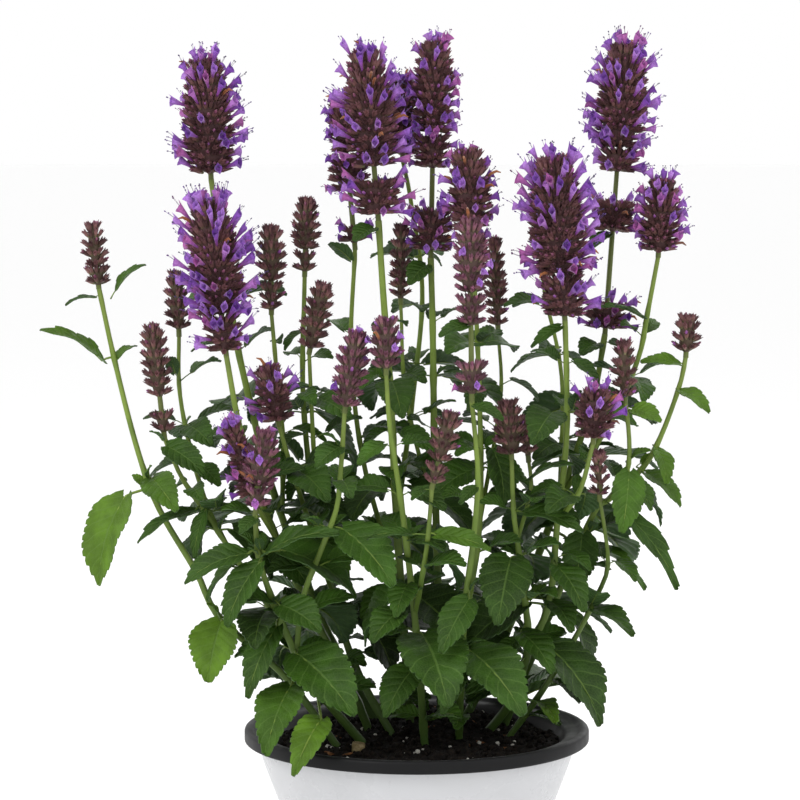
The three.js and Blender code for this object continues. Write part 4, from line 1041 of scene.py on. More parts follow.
class Slot(Enum):
    """Names for the pieces' finishes, which nothing in the script uses."""

    OUTER_POT = "outer_pot"
    LINER_POT = "liner_pot"
    SOIL = "soil"
    CUT_STUB = "cut_stub"
    LEAFY_STEMS = "leafy_stems"
    FLOWER_HEADS = "flower_heads"
    FLOWER_BUDS = "flower_buds"


class Coat(IntEnum):
    """A flower head's materials in the order that its faces count them."""

    CALYX = 0
    STALK = 1
    COROLLA = 2
    BUD = 3
    ANTHER = 4
    FADED = 5
    BLADE = 6


def fresh() -> bmesh.types.BMesh:
    """Starts a mesh with the number layers that the finishes read."""
    bm = bmesh.new()
    for name in LAYERS:
        bm.verts.layers.float.new(name)
    return bm


def paint(bm: bmesh.types.BMesh, verts: Sequence[bmesh.types.BMVert], **values: float) -> None:
    """Writes numbers into the layers of some corners.

    Args:
        bm: the mesh.
        verts: its corners.
        values: a number for each named layer.
    """
    for name, value in values.items():
        layer = bm.verts.layers.float[name]
        for vert in verts:
            vert[layer] = value


def corners(geometry: Sequence[object]) -> list[bmesh.types.BMVert]:
    """Gives the corners in an operator's result."""
    return [item for item in geometry if isinstance(item, bmesh.types.BMVert)]


def coat(faces: Iterable[bmesh.types.BMFace | bpy.types.MeshPolygon], finish: int) -> None:
    """Gives all the faces one of their piece's materials."""
    for face in faces:
        face.material_index = finish


def kept(bm: bmesh.types.BMesh, name: str) -> bpy.types.Mesh:
    """Turns a mesh in the making into a shape that can be stamped."""
    mesh = bpy.data.meshes.new(name)
    bm.to_mesh(mesh)
    bm.free()
    return mesh


def merge(bm: bmesh.types.BMesh, made: bpy.types.Mesh) -> None:
    """Moves a shape that is needed only once into a mesh."""
    bm.from_mesh(made)
    bpy.data.meshes.remove(made)


def stamp(bm: bmesh.types.BMesh, shape: bpy.types.Mesh, place: Matrix | None = None,
          tone: float | None = None) -> None:
    """Adds a copy of a shape to a mesh.

    Args:
        bm: the mesh that takes the copy.
        shape: the shape.
        place: where the copy goes.
        tone: its tone, where all of it has one.
    """
    copy = shape.copy()
    if place is not None:
        copy.transform(place)
    if tone is not None:
        copy.attributes["tone"].data.foreach_set("value", [tone] * len(copy.vertices))
    merge(bm, copy)


def aimed(origin: np.ndarray | Vector, direction: np.ndarray | Vector, top: np.ndarray | Vector,
          scale: tuple[float, float] = (1.0, 1.0)) -> Matrix:
    """Gives the place of a shape that is built along Z.

    Args:
        origin: where its foot goes.
        direction: where its Z points.
        top: roughly where its Y points.
        scale: its size across and along.

    Returns:
        The matrix that puts it there.
    """
    z = Vector(direction).normalized()
    y = Vector(top) - z * z.dot(Vector(top))
    y = y.normalized() if y.length > 1e-6 else z.orthogonal().normalized()
    x = y.cross(z)
    turn = Matrix((x, y, z)).transposed().to_4x4()
    size = Matrix.Diagonal((scale[0], scale[0], scale[1], 1.0))
    return Matrix.Translation(Vector(origin)) @ turn @ size


def ring_places(path: Sequence[np.ndarray], sizes: Sequence[float]) -> list[Matrix]:
    """Gives the places of a cross-section along a path, without twist.

    Args:
        path: the points of the path.
        sizes: the section's size at each point.

    Returns:
        A matrix for each point.
    """
    points = [Vector(point) for point in path]
    places = []
    side = Vector((1.0, 0.0, 0.0))
    for k, (point, size) in enumerate(zip(points, sizes)):
        ahead = points[min(k + 1, len(points) - 1)] - points[max(k - 1, 0)]
        place = aimed(point, ahead, side, (size, 1.0))
        side = place.to_3x3() @ Vector((0.0, 1.0, 0.0))
        places.append(place)
    return places


def sweep(bm: bmesh.types.BMesh, ring: Sequence[bmesh.types.BMVert],
          places: Sequence[Matrix]) -> list[list[bmesh.types.BMVert]]:
    """Carries a ring of corners along its places and closes both ends.

    Args:
        bm: the mesh that holds the ring.
        ring: the ring's corners, lying in the XY plane.
        places: where the ring goes, one after the other.

    Returns:
        The corners of each ring in turn.
    """
    edges = list({edge for vert in ring for edge in vert.link_edges})
    first = edges
    bmesh.ops.transform(bm, matrix=places[0], verts=list(ring))
    rings = [list(ring)]
    for before, after in zip(places, places[1:]):
        grown = bmesh.ops.extrude_edge_only(bm, edges=edges)["geom"]
        verts = corners(grown)
        wanted = set(verts)
        edges = [item for item in grown if isinstance(item, bmesh.types.BMEdge)
                 and set(item.verts) <= wanted]
        bmesh.ops.transform(bm, matrix=after @ before.inverted(), verts=verts)
        rings.append(verts)
    for end in (first, edges):
        bmesh.ops.edgeloop_fill(bm, edges=end)
    return rings


def circle(bm: bmesh.types.BMesh, segments: int, radius: float = 1.0) -> list[bmesh.types.BMVert]:
    """Adds a bare ring of corners in the XY plane."""
    return bmesh.ops.create_circle(bm, cap_ends=False, segments=segments, radius=radius)["verts"]


def shell_out(bm: bmesh.types.BMesh) -> None:
    """Turns every face of a closed mesh outwards."""
    bmesh.ops.recalc_face_normals(bm, faces=bm.faces[:])


def tube(bm: bmesh.types.BMesh, path: Sequence[np.ndarray], sizes: Sequence[float],
         segments: int, finish: int, **values: float) -> None:
    """Adds a closed tube to a mesh.

    Args:
        bm: the mesh that takes the tube.
        path: the points along its middle.
        sizes: its radius at each point.
        segments: how many faces there are round it.
        finish: which of the piece's materials it has.
        values: a number for each named layer.
    """
    made = fresh()
    sweep(made, circle(made, segments), ring_places(path, sizes))
    paint(made, made.verts[:], **values)
    shell_out(made)
    coat(made.faces, finish)
    merge(bm, kept(made, "tube"))


def piece(bm: bmesh.types.BMesh, name: str, nodes: Sequence[str],
          finishes: Sequence[bpy.types.Material], smooth_angle: float = 180.0) -> bpy.types.Object:
    """Finishes a mesh as a piece of the model, in metres, riding on the body.

    Args:
        bm: the mesh, in millimetres.
        name: the piece's name.
        nodes: the solids that it stands for.
        finishes: its materials, in the order that its faces count them.
        smooth_angle: edges sharper than this stay sharp, in degrees.

    Returns:
        The piece.
    """
    bmesh.ops.scale(bm, vec=(MM, MM, MM), verts=bm.verts[:])
    for face in bm.faces:
        face.smooth = True
    for edge in bm.edges:
        if edge.is_manifold and edge.calc_face_angle(0.0) > math.radians(smooth_angle):
            edge.smooth = False
    mesh = kept(bm, name)
    made = bpy.data.objects.new(name, mesh)
    bpy.context.scene.collection.objects.link(made)
    for finish in finishes:
        mesh.materials.append(finish)
    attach(made, "root")
    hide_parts(*nodes)
    log.info("%s: %d faces", name, len(mesh.polygons))
    return made


@dataclass
class BladeShape:
    """One leaf: a toothed blade with sunken side veins, on a petiole that runs into a midrib.

    Its rows start at the first share of its length and span the next. For the three rows of a
    tooth, the crest is how far its edge is set in and the push how far it leans forward.
    """

    thickness: float = 0.45
    notch: float = 0.09
    heart: float = 0.075
    wave: float = 0.022
    droop: float = 0.05
    puff: float = 0.012
    first: float = 0.012
    span: float = 0.983
    waves: float = 1.9
    crest: tuple[float, ...] = (1.0, 0.0, 0.22)
    push: tuple[float, ...] = (-0.35, 0.1, 0.75)
    sunlit: float = 0.5
    roll: float = 1.3
    stalk_shares: tuple[float, ...] = (0.0, 0.35, 0.7)
    rib_shares: tuple[float, ...] = (0.0, 0.16, 0.34, 0.55, 0.78)
    radii: tuple[float, ...] = (0.85, 0.7, 0.66, 0.68, 0.6, 0.45, 0.32, 0.14)

    def grid(self, width: float) -> tuple[int, int]:
        """Gives how many columns and rows a blade of a width is built with."""
        if width > 17:
            return 12, 36
        return (8, 27) if width > 13 else (6, 18)

    def build(self, leaf: GrownLeaf, draw: Draws) -> bpy.types.Mesh:
        """Builds the leaf.

        Args:
            leaf: where it is, how wide and how sunlit.
            draw: the draws that vary it.

        Returns:
            The leaf's mesh, in millimetres.
        """
        bm = fresh()
        self.blade(bm, leaf, draw)
        self.petiole(bm, leaf)
        return kept(bm, "leaf")

    def blade(self, bm: bmesh.types.BMesh, leaf: GrownLeaf, draw: Draws) -> None:
        """Bends a grid into the blade and gives it its thickness."""
        columns, rows = self.grid(leaf.width)
        place, half = leaf.place, leaf.width / 2
        place.faced(self.roll * max(0.0, leaf.tone - self.sunlit))
        phase, lean = draw.between(0, math.tau), draw.between(-1, 1)
        share_of, along_of = bm.verts.layers.float["share"], bm.verts.layers.float["along"]
        bmesh.ops.create_grid(bm, x_segments=columns, y_segments=rows, size=1.0)
        top = bm.faces[:]
        for vert in bm.verts:
            share, step = vert.co.x, (vert.co.y + 1) / 2
            along = self.first + self.span * step
            row = round(step * rows)
            edge = abs(share) ** 6
            tooth = 1 - self.notch * edge * self.crest[row % 3]
            forward = self.push[row % 3] / rows * edge
            side = half * blade_width(along) * share * tooth
            back = self.heart * abs(share) ** 1.6 * (1 - along) ** 4
            swing = math.sin(math.tau * self.waves * along + phase + 2 * share)
            ripple = self.wave * share ** 2 * swing
            vein = (along - VEIN_SLANT * abs(share)) * VEIN_PAIRS
            rib = abs(2 * (vein % 1) - 1) ** 2
            raised = self.puff * (0.4 - rib) * min(1.0, 3 * (1 - abs(share)))
            curl = -self.droop * along ** 3 + 0.02 * lean * along
            point = Vector(place.at(along + forward - back, side))
            point += Vector(place.upward) * place.length * (ripple + raised + curl)
            vert.co = point
            vert[share_of], vert[along_of] = abs(share), along
        bm.normal_update()
        before = set(bm.verts)
        bmesh.ops.solidify(bm, geom=top, thickness=self.thickness)
        added = [vert for vert in bm.verts if vert not in before]
        middle = [sum((vert.co for vert in group), Vector()) / len(group)
                  for group in (list(before), added)]
        below = (middle[1] - middle[0]).dot(Vector(place.upward)) < 0
        paint(bm, bm.verts[:], tone=leaf.tone)
        paint(bm, added if below else list(before), under=1.0)
        shell_out(bm)

    def petiole(self, bm: bmesh.types.BMesh, leaf: GrownLeaf) -> None:
        """Adds the petiole, which runs on as a raised midrib under the blade."""
        place = leaf.place
        size = min(1.15, max(0.4, place.length / 42))
        under = place.upward * self.thickness
        stalk = place.base - place.root
        path = [place.root + stalk * share + UP * 0.5 * size * math.sin(math.pi * share)
                for share in self.stalk_shares]
        path += [place.at(along, 0.0) - under for along in self.rib_shares]
        sizes = [size * radius for radius in self.radii]
        known = set(bm.verts)
        rings = sweep(bm, circle(bm, 6), ring_places(path, sizes))
        added = [vert for vert in bm.verts if vert not in known]
        faces = list({face for vert in added for face in vert.link_faces})
        bmesh.ops.recalc_face_normals(bm, faces=faces)
        coat(faces, Coat.STALK)
        # The petiole is painted lighter with its leaf's sunlit tone, as painted light, and a little
        # darker at its root on the stem
        paint(bm, added, tone=0.35 + 0.6 * leaf.tone)
        paint(bm, rings[0], tone=0.3)


@dataclass
class LeafyShoot:
    """A shoot: its square stems and all the leaves that grow from it.

    Swollen and flushed are how far the swelling at a node and the flush under a head reach.
    """

    name: str
    growth: Growth
    ring_step: float = 6.0
    swelling: float = 0.22
    swollen: float = 3.5
    square: float = 3.4
    groove: float = 0.09
    flushed: float = 34.0
    young_from: float = 13.0

    def stalk(self, stem: Stem) -> bpy.types.Mesh:
        """Builds one square stem with grooved sides, swollen where leaves grow from it."""
        curve = self.growth.curve(stem)
        steps = max(4, round(curve.length / self.ring_step))
        path = curve.spaced(steps)
        roots = [leaf.place.root for leaf in self.growth.leaves.get(f"stems_{self.name}", [])]
        sizes = []
        for k, point in enumerate(path):
            gap = min((float(np.linalg.norm(point - root)) for root in roots), default=99.0)
            plain = (stem.widths[0] + (stem.widths[1] - stem.widths[0]) * k / steps) / 2
            sizes.append(plain * (1 + self.swelling * math.exp(-(gap / self.swollen) ** 2)))
        bm = fresh()
        ring = circle(bm, 12)
        for vert in ring:
            angle = math.atan2(vert.co.y, vert.co.x)
            sides = abs(math.cos(angle)) ** self.square + abs(math.sin(angle)) ** self.square
            vert.co *= sides ** (-1 / self.square) * (1 - self.groove * math.cos(2 * angle) ** 2)
        for k, verts in enumerate(sweep(bm, ring, ring_places(path, sizes))):
            # Stems are painted lighter higher up as painted light, and darker low down as painted
            # shade; under is the real purple flush near the head
            height = min(1.0, max(0.0, (path[k][2] - 80) / 180))
            near_head = min(1.0, max(0.0, 1 - (steps - k) * self.ring_step / self.flushed))
            paint(bm, verts, tone=0.2 + 0.65 * height, under=0.22 * near_head)
        shell_out(bm)
        coat(bm.faces, Coat.STALK)
        return kept(bm, "stalk")

    def young(self, leaf: GrownLeaf, draw: Draws) -> GrownLeaf:
        """Gives a young leaf that stands up beside a grown leaf's petiole.

        Args:
            leaf: the grown leaf.
            draw: the draws that vary it.

        Returns:
            The young leaf.
        """
        root = leaf.place.root
        out = unit((leaf.place.base - root) * (1, 1, 0))
        turn = draw.between(0.5, 0.9) * (1 if draw() < 0.5 else -1)
        aside = np.array((out[0] * math.cos(turn) - out[1] * math.sin(turn),
                          out[0] * math.sin(turn) + out[1] * math.cos(turn), 0.0))
        base = root + (aside + UP * 0.7) * 2.6
        tip = base + unit(aside + UP * draw.between(0.3, 1.1)) * draw.between(7, 12)
        place = LeafFrame(root, base, tip)
        return GrownLeaf(place, 0.52 * place.length, min(1.0, leaf.tone + 0.2))

    def build(self) -> bpy.types.Object:
        """Builds the shoot as one piece.

        Returns:
            The piece.
        """
        draw = Draws(900 + len(self.name) * 7)
        bm = fresh()
        for stem in STEMS:
            if stem.shoot == self.name:
                merge(bm, self.stalk(stem))
        shape = BladeShape()
        for leaf in self.growth.leaves.get(f"stems_{self.name}", []):
            merge(bm, shape.build(leaf, draw))
            if leaf.width > self.young_from and draw() < 0.5:
                merge(bm, shape.build(self.young(leaf, draw), draw))
        return piece(bm, f"shoot_{self.name}", [f"stems_{self.name}"],
                     [FINISH["blade"], FINISH["stalk"]], 60.0)


@dataclass
class FloretShapes:
    """The small shapes that flower heads are built from, each along Z from its foot.

    The tube is a corolla's (height, radius) points, and the lobes are the (width, height) of its
    edge at even places round its mouth.
    """

    tube: Profile = ((0, 0.5), (3.4, 0.9), (6.2, 1.65), (8.3, 2.35), (5.4, 0.9))
    lobes: Profile = ((1.3, 8.3), (0.78, 7.9), (1.05, 9.4), (1.05, 9.4), (0.78, 7.9),
                      (1.3, 8.3), (0.84, 7.6), (1.4, 7.2), (1.4, 7.2), (0.84, 7.6))

    def calyx(self) -> bpy.types.Mesh:
        """Builds a calyx: a cup that widens to five pointed teeth around a sunken mouth."""
        bm = fresh()
        bmesh.ops.create_cone(bm, cap_ends=True, segments=5, radius1=0.5, radius2=1.05, depth=2.4)
        bmesh.ops.translate(bm, vec=(0, 0, 1.2), verts=bm.verts[:])
        mouth = max(bm.faces, key=lambda face: face.calc_center_median().z)
        mouth = bmesh.ops.extrude_discrete_faces(bm, faces=[mouth])["faces"][0]
        bmesh.ops.translate(bm, vec=(0, 0, 2.1), verts=mouth.verts[:])
        bmesh.ops.scale(bm, vec=(1.08, 1.08, 1.0), verts=mouth.verts[:])
        teeth = corners(bmesh.ops.bisect_edges(bm, edges=mouth.edges[:], cuts=1)["geom_split"])
        bmesh.ops.translate(bm, vec=(0, 0, 1.7), verts=teeth)
        bmesh.ops.scale(bm, vec=(1.5, 1.5, 1.0), verts=teeth)
        middle = bmesh.ops.poke(bm, faces=[mouth])["verts"]
        bmesh.ops.translate(bm, vec=(0, 0, -1.8), verts=middle)
        return self.marked(bm, Coat.CALYX, CALYX_LENGTH, "calyx")

    def corolla(self) -> bpy.types.Mesh:
        """Builds an open corolla: a tube with an erect upper lip and a spreading lower one."""
        bm = fresh()
        places = [Matrix.Translation((0, 0, height)) @ Matrix.Diagonal((radius, radius, 1, 1))
                  for height, radius in self.tube]
        count = len(self.lobes)
        rings = sweep(bm, circle(bm, count), places)
        for vert in rings[3]:
            turn = math.atan2(vert.co.y, vert.co.x) / math.tau
            width, height = self.lobes[round(turn * count) % count]
            vert.co = Vector((vert.co.x * width, vert.co.y * width, height))
        return self.marked(bm, Coat.COROLLA, 9.0, "corolla")

    def bud(self) -> bpy.types.Mesh:
        """Builds a closed bud that peeps out of its calyx."""
        bm = fresh()
        bmesh.ops.create_uvsphere(bm, u_segments=5, v_segments=4, radius=1.0)
        bmesh.ops.scale(bm, vec=(0.75, 0.75, 1.7), verts=bm.verts[:])
        bmesh.ops.translate(bm, vec=(0, 0, 1.5), verts=bm.verts[:])
        return self.marked(bm, Coat.BUD, 2.0, "bud")

    def stamen(self) -> bpy.types.Mesh:
        """Builds a stamen: a thread with a dark anther at its end."""
        bm = fresh()
        bmesh.ops.create_cone(bm, cap_ends=True, segments=3, radius1=0.13, radius2=0.09, depth=6.0)
        bmesh.ops.create_uvsphere(bm, u_segments=4, v_segments=3, radius=0.42,
                                  matrix=Matrix.Translation((0, 0, 3.1)))
        bmesh.ops.translate(bm, vec=(0, 0, 3.0), verts=bm.verts[:])
        return self.marked(bm, Coat.ANTHER, 6.0, "stamen")

    def faded(self) -> bpy.types.Mesh:
        """Builds a faded floret: a shrunken brown tube that hangs at its end."""
        bm = fresh()
        bend = ((0, 0, 0), (0, 0, 3.4), (0, -0.8, 5.6), (0, -2.6, 6.6))
        path = [np.array(point) for point in bend]
        sweep(bm, circle(bm, 5), ring_places(path, (0.5, 0.75, 0.6, 0.2)))
        return self.marked(bm, Coat.FADED, 5.0, "faded")

    def marked(self, bm: bmesh.types.BMesh, finish: int, length: float, name: str) -> bpy.types.Mesh:
        """Marks how far along every corner lies, and keeps the shape.

        Args:
            bm: the shape.
            finish: which of the head's materials it has.
            length: where the mark reaches 1, in millimetres.
            name: the shape's name.

        Returns:
            The shape's mesh.
        """
        shell_out(bm)
        layer = bm.verts.layers.float["along"]
        for vert in bm.verts:
            vert[layer] = min(1.0, max(0.0, vert.co.z / length))
        coat(bm.faces, finish)
        return kept(bm, name)


@dataclass(frozen=True)
class Habit:
    """How a head's calyces stand at its age.

    It holds their size, their lowest rise in degrees, how close their rows are, how far the
    core fills them, which part of their colour it has, and the tip left to open florets.
    """

    calyx: float
    rise: float
    density: float
    core: float
    shade: float
    tip: float


OPEN_HABIT = Habit(1.0, 14, 1.0, 0.25, 0.7, 4.5)
YOUNG_HABIT = Habit(0.84, 30, 0.8, 0.1, 0.25, 0.0)


@dataclass(frozen=True)
class Row:
    """A row of calyces: its height, rise in radians, radii at feet and mouths, and whorl."""

    height: float
    rise: float
    inner: float
    outer: float
    whorl: int


@dataclass
class FlowerHead:
    """A flower head: whorls of calyces round a stalk, with florets open, in bud or faded.

    The starts are how far from a calyx's foot its corolla, bud or faded floret begins. A crown
    is a number of calyces that close the top, their share of its radius and their rise.
    """

    stem: Stem
    index: int
    shapes: dict[str, bpy.types.Mesh]
    growth: Growth
    row_pitch: float = 3.8
    calyx_pitch: float = 3.05
    top_rise: float = 74.0
    sunk: float = 1.2
    stalk_radii: tuple[float, ...] = (1.35, 1.3, 1.15, 0.8)
    tube_start: float = 2.6
    bud_start: float = 3.4
    faded_start: float = 3.6
    hidden: float = 4.6
    corolla_length: float = 9.4
    corolla_reach: float = 9.6
    overshoot: float = 2.5
    crowns: tuple[tuple[int, float, float], ...] = ((6, 0.42, 74), (3, 0.16, 84))

    def __post_init__(self) -> None:
        """Works out the head's axis."""
        self.head = HEADS[self.stem.name]
        self.foot = np.array(self.stem.route[-2], dtype=float)
        tip = np.array(self.stem.route[-1], dtype=float)
        self.length = float(np.linalg.norm(tip - self.foot))
        self.axis = (tip - self.foot) / self.length
        self.stand = aimed(self.foot, self.axis, (0, -1, 0))
        self.draw = Draws(500 + 13 * self.index)
        self.busy = self.head.bloom in (Bloom.FULL, Bloom.HALF)
        self.habit = OPEN_HABIT if self.busy else YOUNG_HABIT
        self.top = self.length - self.habit.tip

    def stalk(self, bm: bmesh.types.BMesh) -> None:
        """Adds the stalk through the whorls."""
        path = [self.foot + self.axis * (self.length * share - self.sunk)
                for share in (0, 0.3, 0.6, 0.9)]
        tube(bm, path, self.stalk_radii, 8, Coat.STALK, tone=0.6, under=0.4)

    def rows(self) -> list[Row]:
        """Lists the rows of calyces.

        Returns:
            The rows, from the head's foot to its tip.
        """
        found = []
        low, long = self.habit.rise, CALYX_LENGTH * self.habit.calyx
        for whorl, (start, end, radius) in enumerate(self.head.whorls):
            spike = whorl == len(self.head.whorls) - 1
            end = min(end, self.top / self.length)
            span = (end - start) * self.length
            count = max(1, round(span / self.row_pitch * self.habit.density))
            for k in range(count):
                along = (k + 0.5) / count
                if spike:
                    full = spike_width(along)
                    rise = math.radians(low + (self.top_rise - low) * along ** 1.4)
                else:
                    full = 0.88 + 0.12 * math.sin(math.pi * along)
                    rise = math.radians(low - 8 + 40 * along)
                outer = radius * full
                inner = max(0.9, outer - long * math.cos(rise))
                height = (start + (end - start) * along) * self.length
                height = min(height, self.top + 0.8 - long * math.sin(rise))
                found.append(Row(height, rise, inner, outer, whorl))
        return found

    def core(self, bm: bmesh.types.BMesh, rows: Sequence[Row]) -> None:
        """Adds the closed core of each whorl, painted at the darkest tone as painted shade that
        shows between its calyces.
        """
        for whorl in range(len(self.head.whorls)):
            mine = [row for row in rows if row.whorl == whorl]
            path = [self.foot + self.axis * (mine[0].height - 1.0)]
            sizes = [1.5]
            for row in mine:
                point = self.foot + self.axis * (row.height + 0.8)
                if float((point - path[-1]) @ self.axis) > 0.5:
                    path.append(point)
                    sizes.append(row.inner + self.habit.core * (row.outer - row.inner))
            path.append(path[-1] + self.axis * 2.2)
            sizes.append(sizes[-1] * 0.6)
            # tone 0 paints the core at its darkest: painted shade between the calyces
            tube(bm, path, sizes, 12, Coat.CALYX, tone=0.0, along=self.habit.shade)

    def floret(self, bm: bmesh.types.BMesh, height: float, rise: float, angle: float,
               foot_radius: float, spread: float) -> None:
        """Adds one floret: its calyx, and what stands out of it.

        Args:
            bm: the head's mesh.
            height: the height of its foot on the head.
            rise: how far it points up, in radians.
            angle: where it stands round the head.
            foot_radius: how far its foot is from the head's axis.
            spread: how far its open corolla stands out of its calyx.
        """
        out = Vector((math.cos(angle), math.sin(angle), 0))
        direction = out * math.cos(rise) + Vector((0, 0, math.sin(rise)))
        origin = out * foot_radius + Vector((0, 0, height))
        roll = Vector((self.draw.between(-1, 1), self.draw.between(-1, 1), 1))
        size = self.habit.calyx * self.draw.between(0.9, 1.1)
        place = self.stand @ aimed(origin, direction, roll, (size * 1.1, size))
        stamp(bm, self.shapes["calyx"], place, self.draw())
        opened, budded, faded = self.head.bloom.value
        chance = self.draw()
        up = Vector((0, 0, 1))
        if chance < opened:
            self.open_floret(bm, origin + direction * self.tube_start, direction, spread)
        elif chance < opened + budded:
            swell = self.draw.between(0.7, 1.1)
            start = origin + direction * self.bud_start * size
            bud = aimed(start, direction, up, (swell, swell * 1.1))
            stamp(bm, self.shapes["bud"], self.stand @ bud, self.draw())
        elif chance < opened + budded + faded:
            start = origin + direction * self.faded_start * size
            old = aimed(start, direction, up, (1.1, 1.2))
            stamp(bm, self.shapes["faded"], self.stand @ old, self.draw())

    def open_floret(self, bm: bmesh.types.BMesh, origin: Vector, direction: Vector,
                    spread: float) -> None:
        """Adds an open corolla with its stamens.

        Args:
            bm: the head's mesh.
            origin: where its tube starts, on the head.
            direction: where it points.
            spread: how far it stands out.
        """
        wander = Vector([self.draw.between(-0.22, 0.22) for _ in range(3)])
        up = Vector((wander.y * 1.6, wander.x * 1.6, 1))
        direction = (direction + wander).normalized()
        room = (self.length + self.overshoot - origin.z) / max(0.25, direction.z)
        stretch = max(0.6, (spread + self.hidden) / self.corolla_length)
        stretch *= self.draw.between(0.78, 1.04)
        stretch = max(0.55, min(stretch, room / self.corolla_reach))
        across = self.draw.between(0.78, 1.05)
        place = self.stand @ aimed(origin, direction, up, (across, stretch))
        tone = self.draw()
        stamp(bm, self.shapes["corolla"], place, tone)
        for side in (-1, 1):
            lean = Vector((side * 0.09, 0.05, 1.0))
            base = Vector((side * 0.3, 0.5, 5.6))
            stamen = aimed(base, lean, (0, 1, 0), (1.0, self.draw.between(0.65, 0.95)))
            stamp(bm, self.shapes["stamen"], place @ stamen, tone)

    def build(self) -> bpy.types.Object:
        """Builds the head as one piece.

        Returns:
            The piece.
        """
        bm = fresh()
        self.stalk(bm)
        rows = self.rows()
        self.core(bm, rows)
        spread = self.head.reach - max(whorl[2] for whorl in self.head.whorls)
        for k, row in enumerate(rows):
            middle = row.inner + 0.6 * (row.outer - row.inner)
            count = max(5, round(math.tau * middle / self.calyx_pitch))
            for j in range(count):
                angle = math.tau * (j + 0.5 * (k % 2) + 0.25 * self.draw()) / count
                lift = row.rise + self.draw.between(-0.16, 0.16)
                height = row.height + self.draw.between(-0.7, 0.7)
                self.floret(bm, height, lift, angle, row.inner, spread)
        self.crown(bm, rows[-1].outer)
        for leaf in self.growth.leaves.get(f"head_{self.stem.name}", []):
            mesh = BladeShape().build(leaf, self.draw)
            coat([face for face in mesh.polygons if face.material_index != Coat.STALK], Coat.BLADE)
            merge(bm, mesh)
        dark = self.head.bloom is not Bloom.LILAC
        finishes = ["calyx_dark" if dark else "calyx_lilac", "stalk", "corolla", "bud", "anther",
                    "faded", "blade"]
        return piece(bm, f"florets_{self.stem.name}", [f"head_{self.stem.name}"],
                     [FINISH[name] for name in finishes], 40.0)

    def crown(self, bm: bmesh.types.BMesh, radius: float) -> None:
        """Closes the head's top with calyces that point up, inside a radius."""
        foot = self.top + 0.6 - CALYX_LENGTH * self.habit.calyx
        for count, share, rise in self.crowns:
            for j in range(count):
                angle = math.tau * (j + self.draw()) / count
                self.floret(bm, foot, math.radians(rise), angle, radius * share, 3.0)


def soil_height(x: float, y: float) -> float:
    """Gives the height of the soil's top at a place, in millimetres."""
    mound = 9 * math.exp(-(math.hypot(x - 6, y - 34) / 34) ** 2)
    crumb = math.sin(x * 0.31 + 1) * math.cos(y * 0.27) + 0.6 * math.sin((x + y) * 0.19)
    return 80 + mound + 0.8 * crumb


def turned(profile: Sequence[tuple[float, float]], steps: int) -> bmesh.types.BMesh:
    """Turns a profile round the vertical axis.

    Args:
        profile: its (radius, height) points, the first and the last on the axis.
        steps: how many faces there are round the axis.

    Returns:
        The closed mesh.
    """
    bm = fresh()
    start = bmesh.ops.create_vert(bm, co=(profile[0][0], 0, profile[0][1]))["vert"]
    verts, edges = list(start), []
    for radius, height in profile[1:]:
        grown = bmesh.ops.extrude_vert_indiv(bm, verts=[verts[-1]])
        bmesh.ops.translate(bm, vec=Vector((radius, 0, height)) - verts[-1].co, verts=grown["verts"])
        verts += grown["verts"]
        edges += grown["edges"]
    bmesh.ops.spin(bm, geom=verts + edges, cent=(0, 0, 0), axis=(0, 0, 1), angle=math.tau,
                   steps=steps, use_merge=True)
    bmesh.ops.remove_doubles(bm, verts=bm.verts[:], dist=0.001)
    shell_out(bm)
    return bm


@dataclass
class OuterPot:
    """The smooth white pot, curved out from its foot to its rim.

    Its inside follows the bowl between the two heights of the hollow.
    """

    foot: Profile = ((0, 0.6), (33, 0.6), (36, 0), (40, 0), (41.8, 0.6))
    bowl: Profile = ((43, 3), (53, 20), (64, 40), (72.6, 61), (77.6, 75), (79.6, 84.2))
    edge: Profile = ((79.6, 83.4), (79.2, 84.0), (78.6, 84.2), (76.6, 84.2), (75.9, 83.9))
    floor: Profile = ((41, 8), (0, 8))
    hollow: tuple[float, float] = (9, 83)
    wall: float = 4.0
    steps: int = 96

    def side(self, inset: float) -> list[tuple[float, float]]:
        """Gives a smooth curve up the pot's side, set in by a distance."""
        route = Route([np.array((r, 0.0, z)) for r, z in self.bowl])
        return [(float(point[0]) - inset, float(point[2])) for point in route.spaced(24)]

    def build(self) -> bpy.types.Object:
        """Builds the pot as one piece."""
        low, high = self.hollow
        inside = [point for point in reversed(self.side(self.wall)) if low < point[1] < high]
        profile = [*self.foot, *self.side(0.0)[1:-1], *self.edge, *inside, *self.floor]
        bm = turned(profile, self.steps)
        return piece(bm, "white_pot", ["outer_pot"], [FINISH["pot_white"]], 50.0)


@dataclass
class LinerPot:
    """The dark nursery pot inside, whose rolled lip rests on the white pot's rim."""

    steps: int = 96
    profile: Profile = (
        (0, 8.3), (38.7, 8.3), (39.5, 8.9), (75, 84.5), (84.3, 84.5), (84.3, 82.5), (84.6, 82.05),
        (85.6, 82.05), (85.95, 82.4), (86, 83.2), (86, 86.9), (85.7, 87.7), (85.0, 88.2),
        (84.2, 88.3), (83.0, 88.3), (82.2, 88.1), (81.5, 87.5), (80.9, 86.9), (79.6, 86.6),
        (77.4, 86.4), (75.9, 86.1), (74.7, 85.3), (73.2, 83.5), (37.7, 10.6), (37.0, 10.1),
        (0, 10.1),
    )

    def build(self) -> bpy.types.Object:
        """Builds the pot as one piece."""
        bm = turned(self.profile, self.steps)
        return piece(bm, "nursery_pot", ["liner_pot"], [FINISH["liner_black"]], 50.0)


@dataclass(frozen=True)
class Grain:
    """A kind of grain on the soil: its make, its material, and how much of it is strewn."""

    name: str
    subdivisions: int
    rough: float
    finish: int
    count: int = 1
    size: tuple[float, float] = (1.0, 1.0)
    flat: float = 0.0


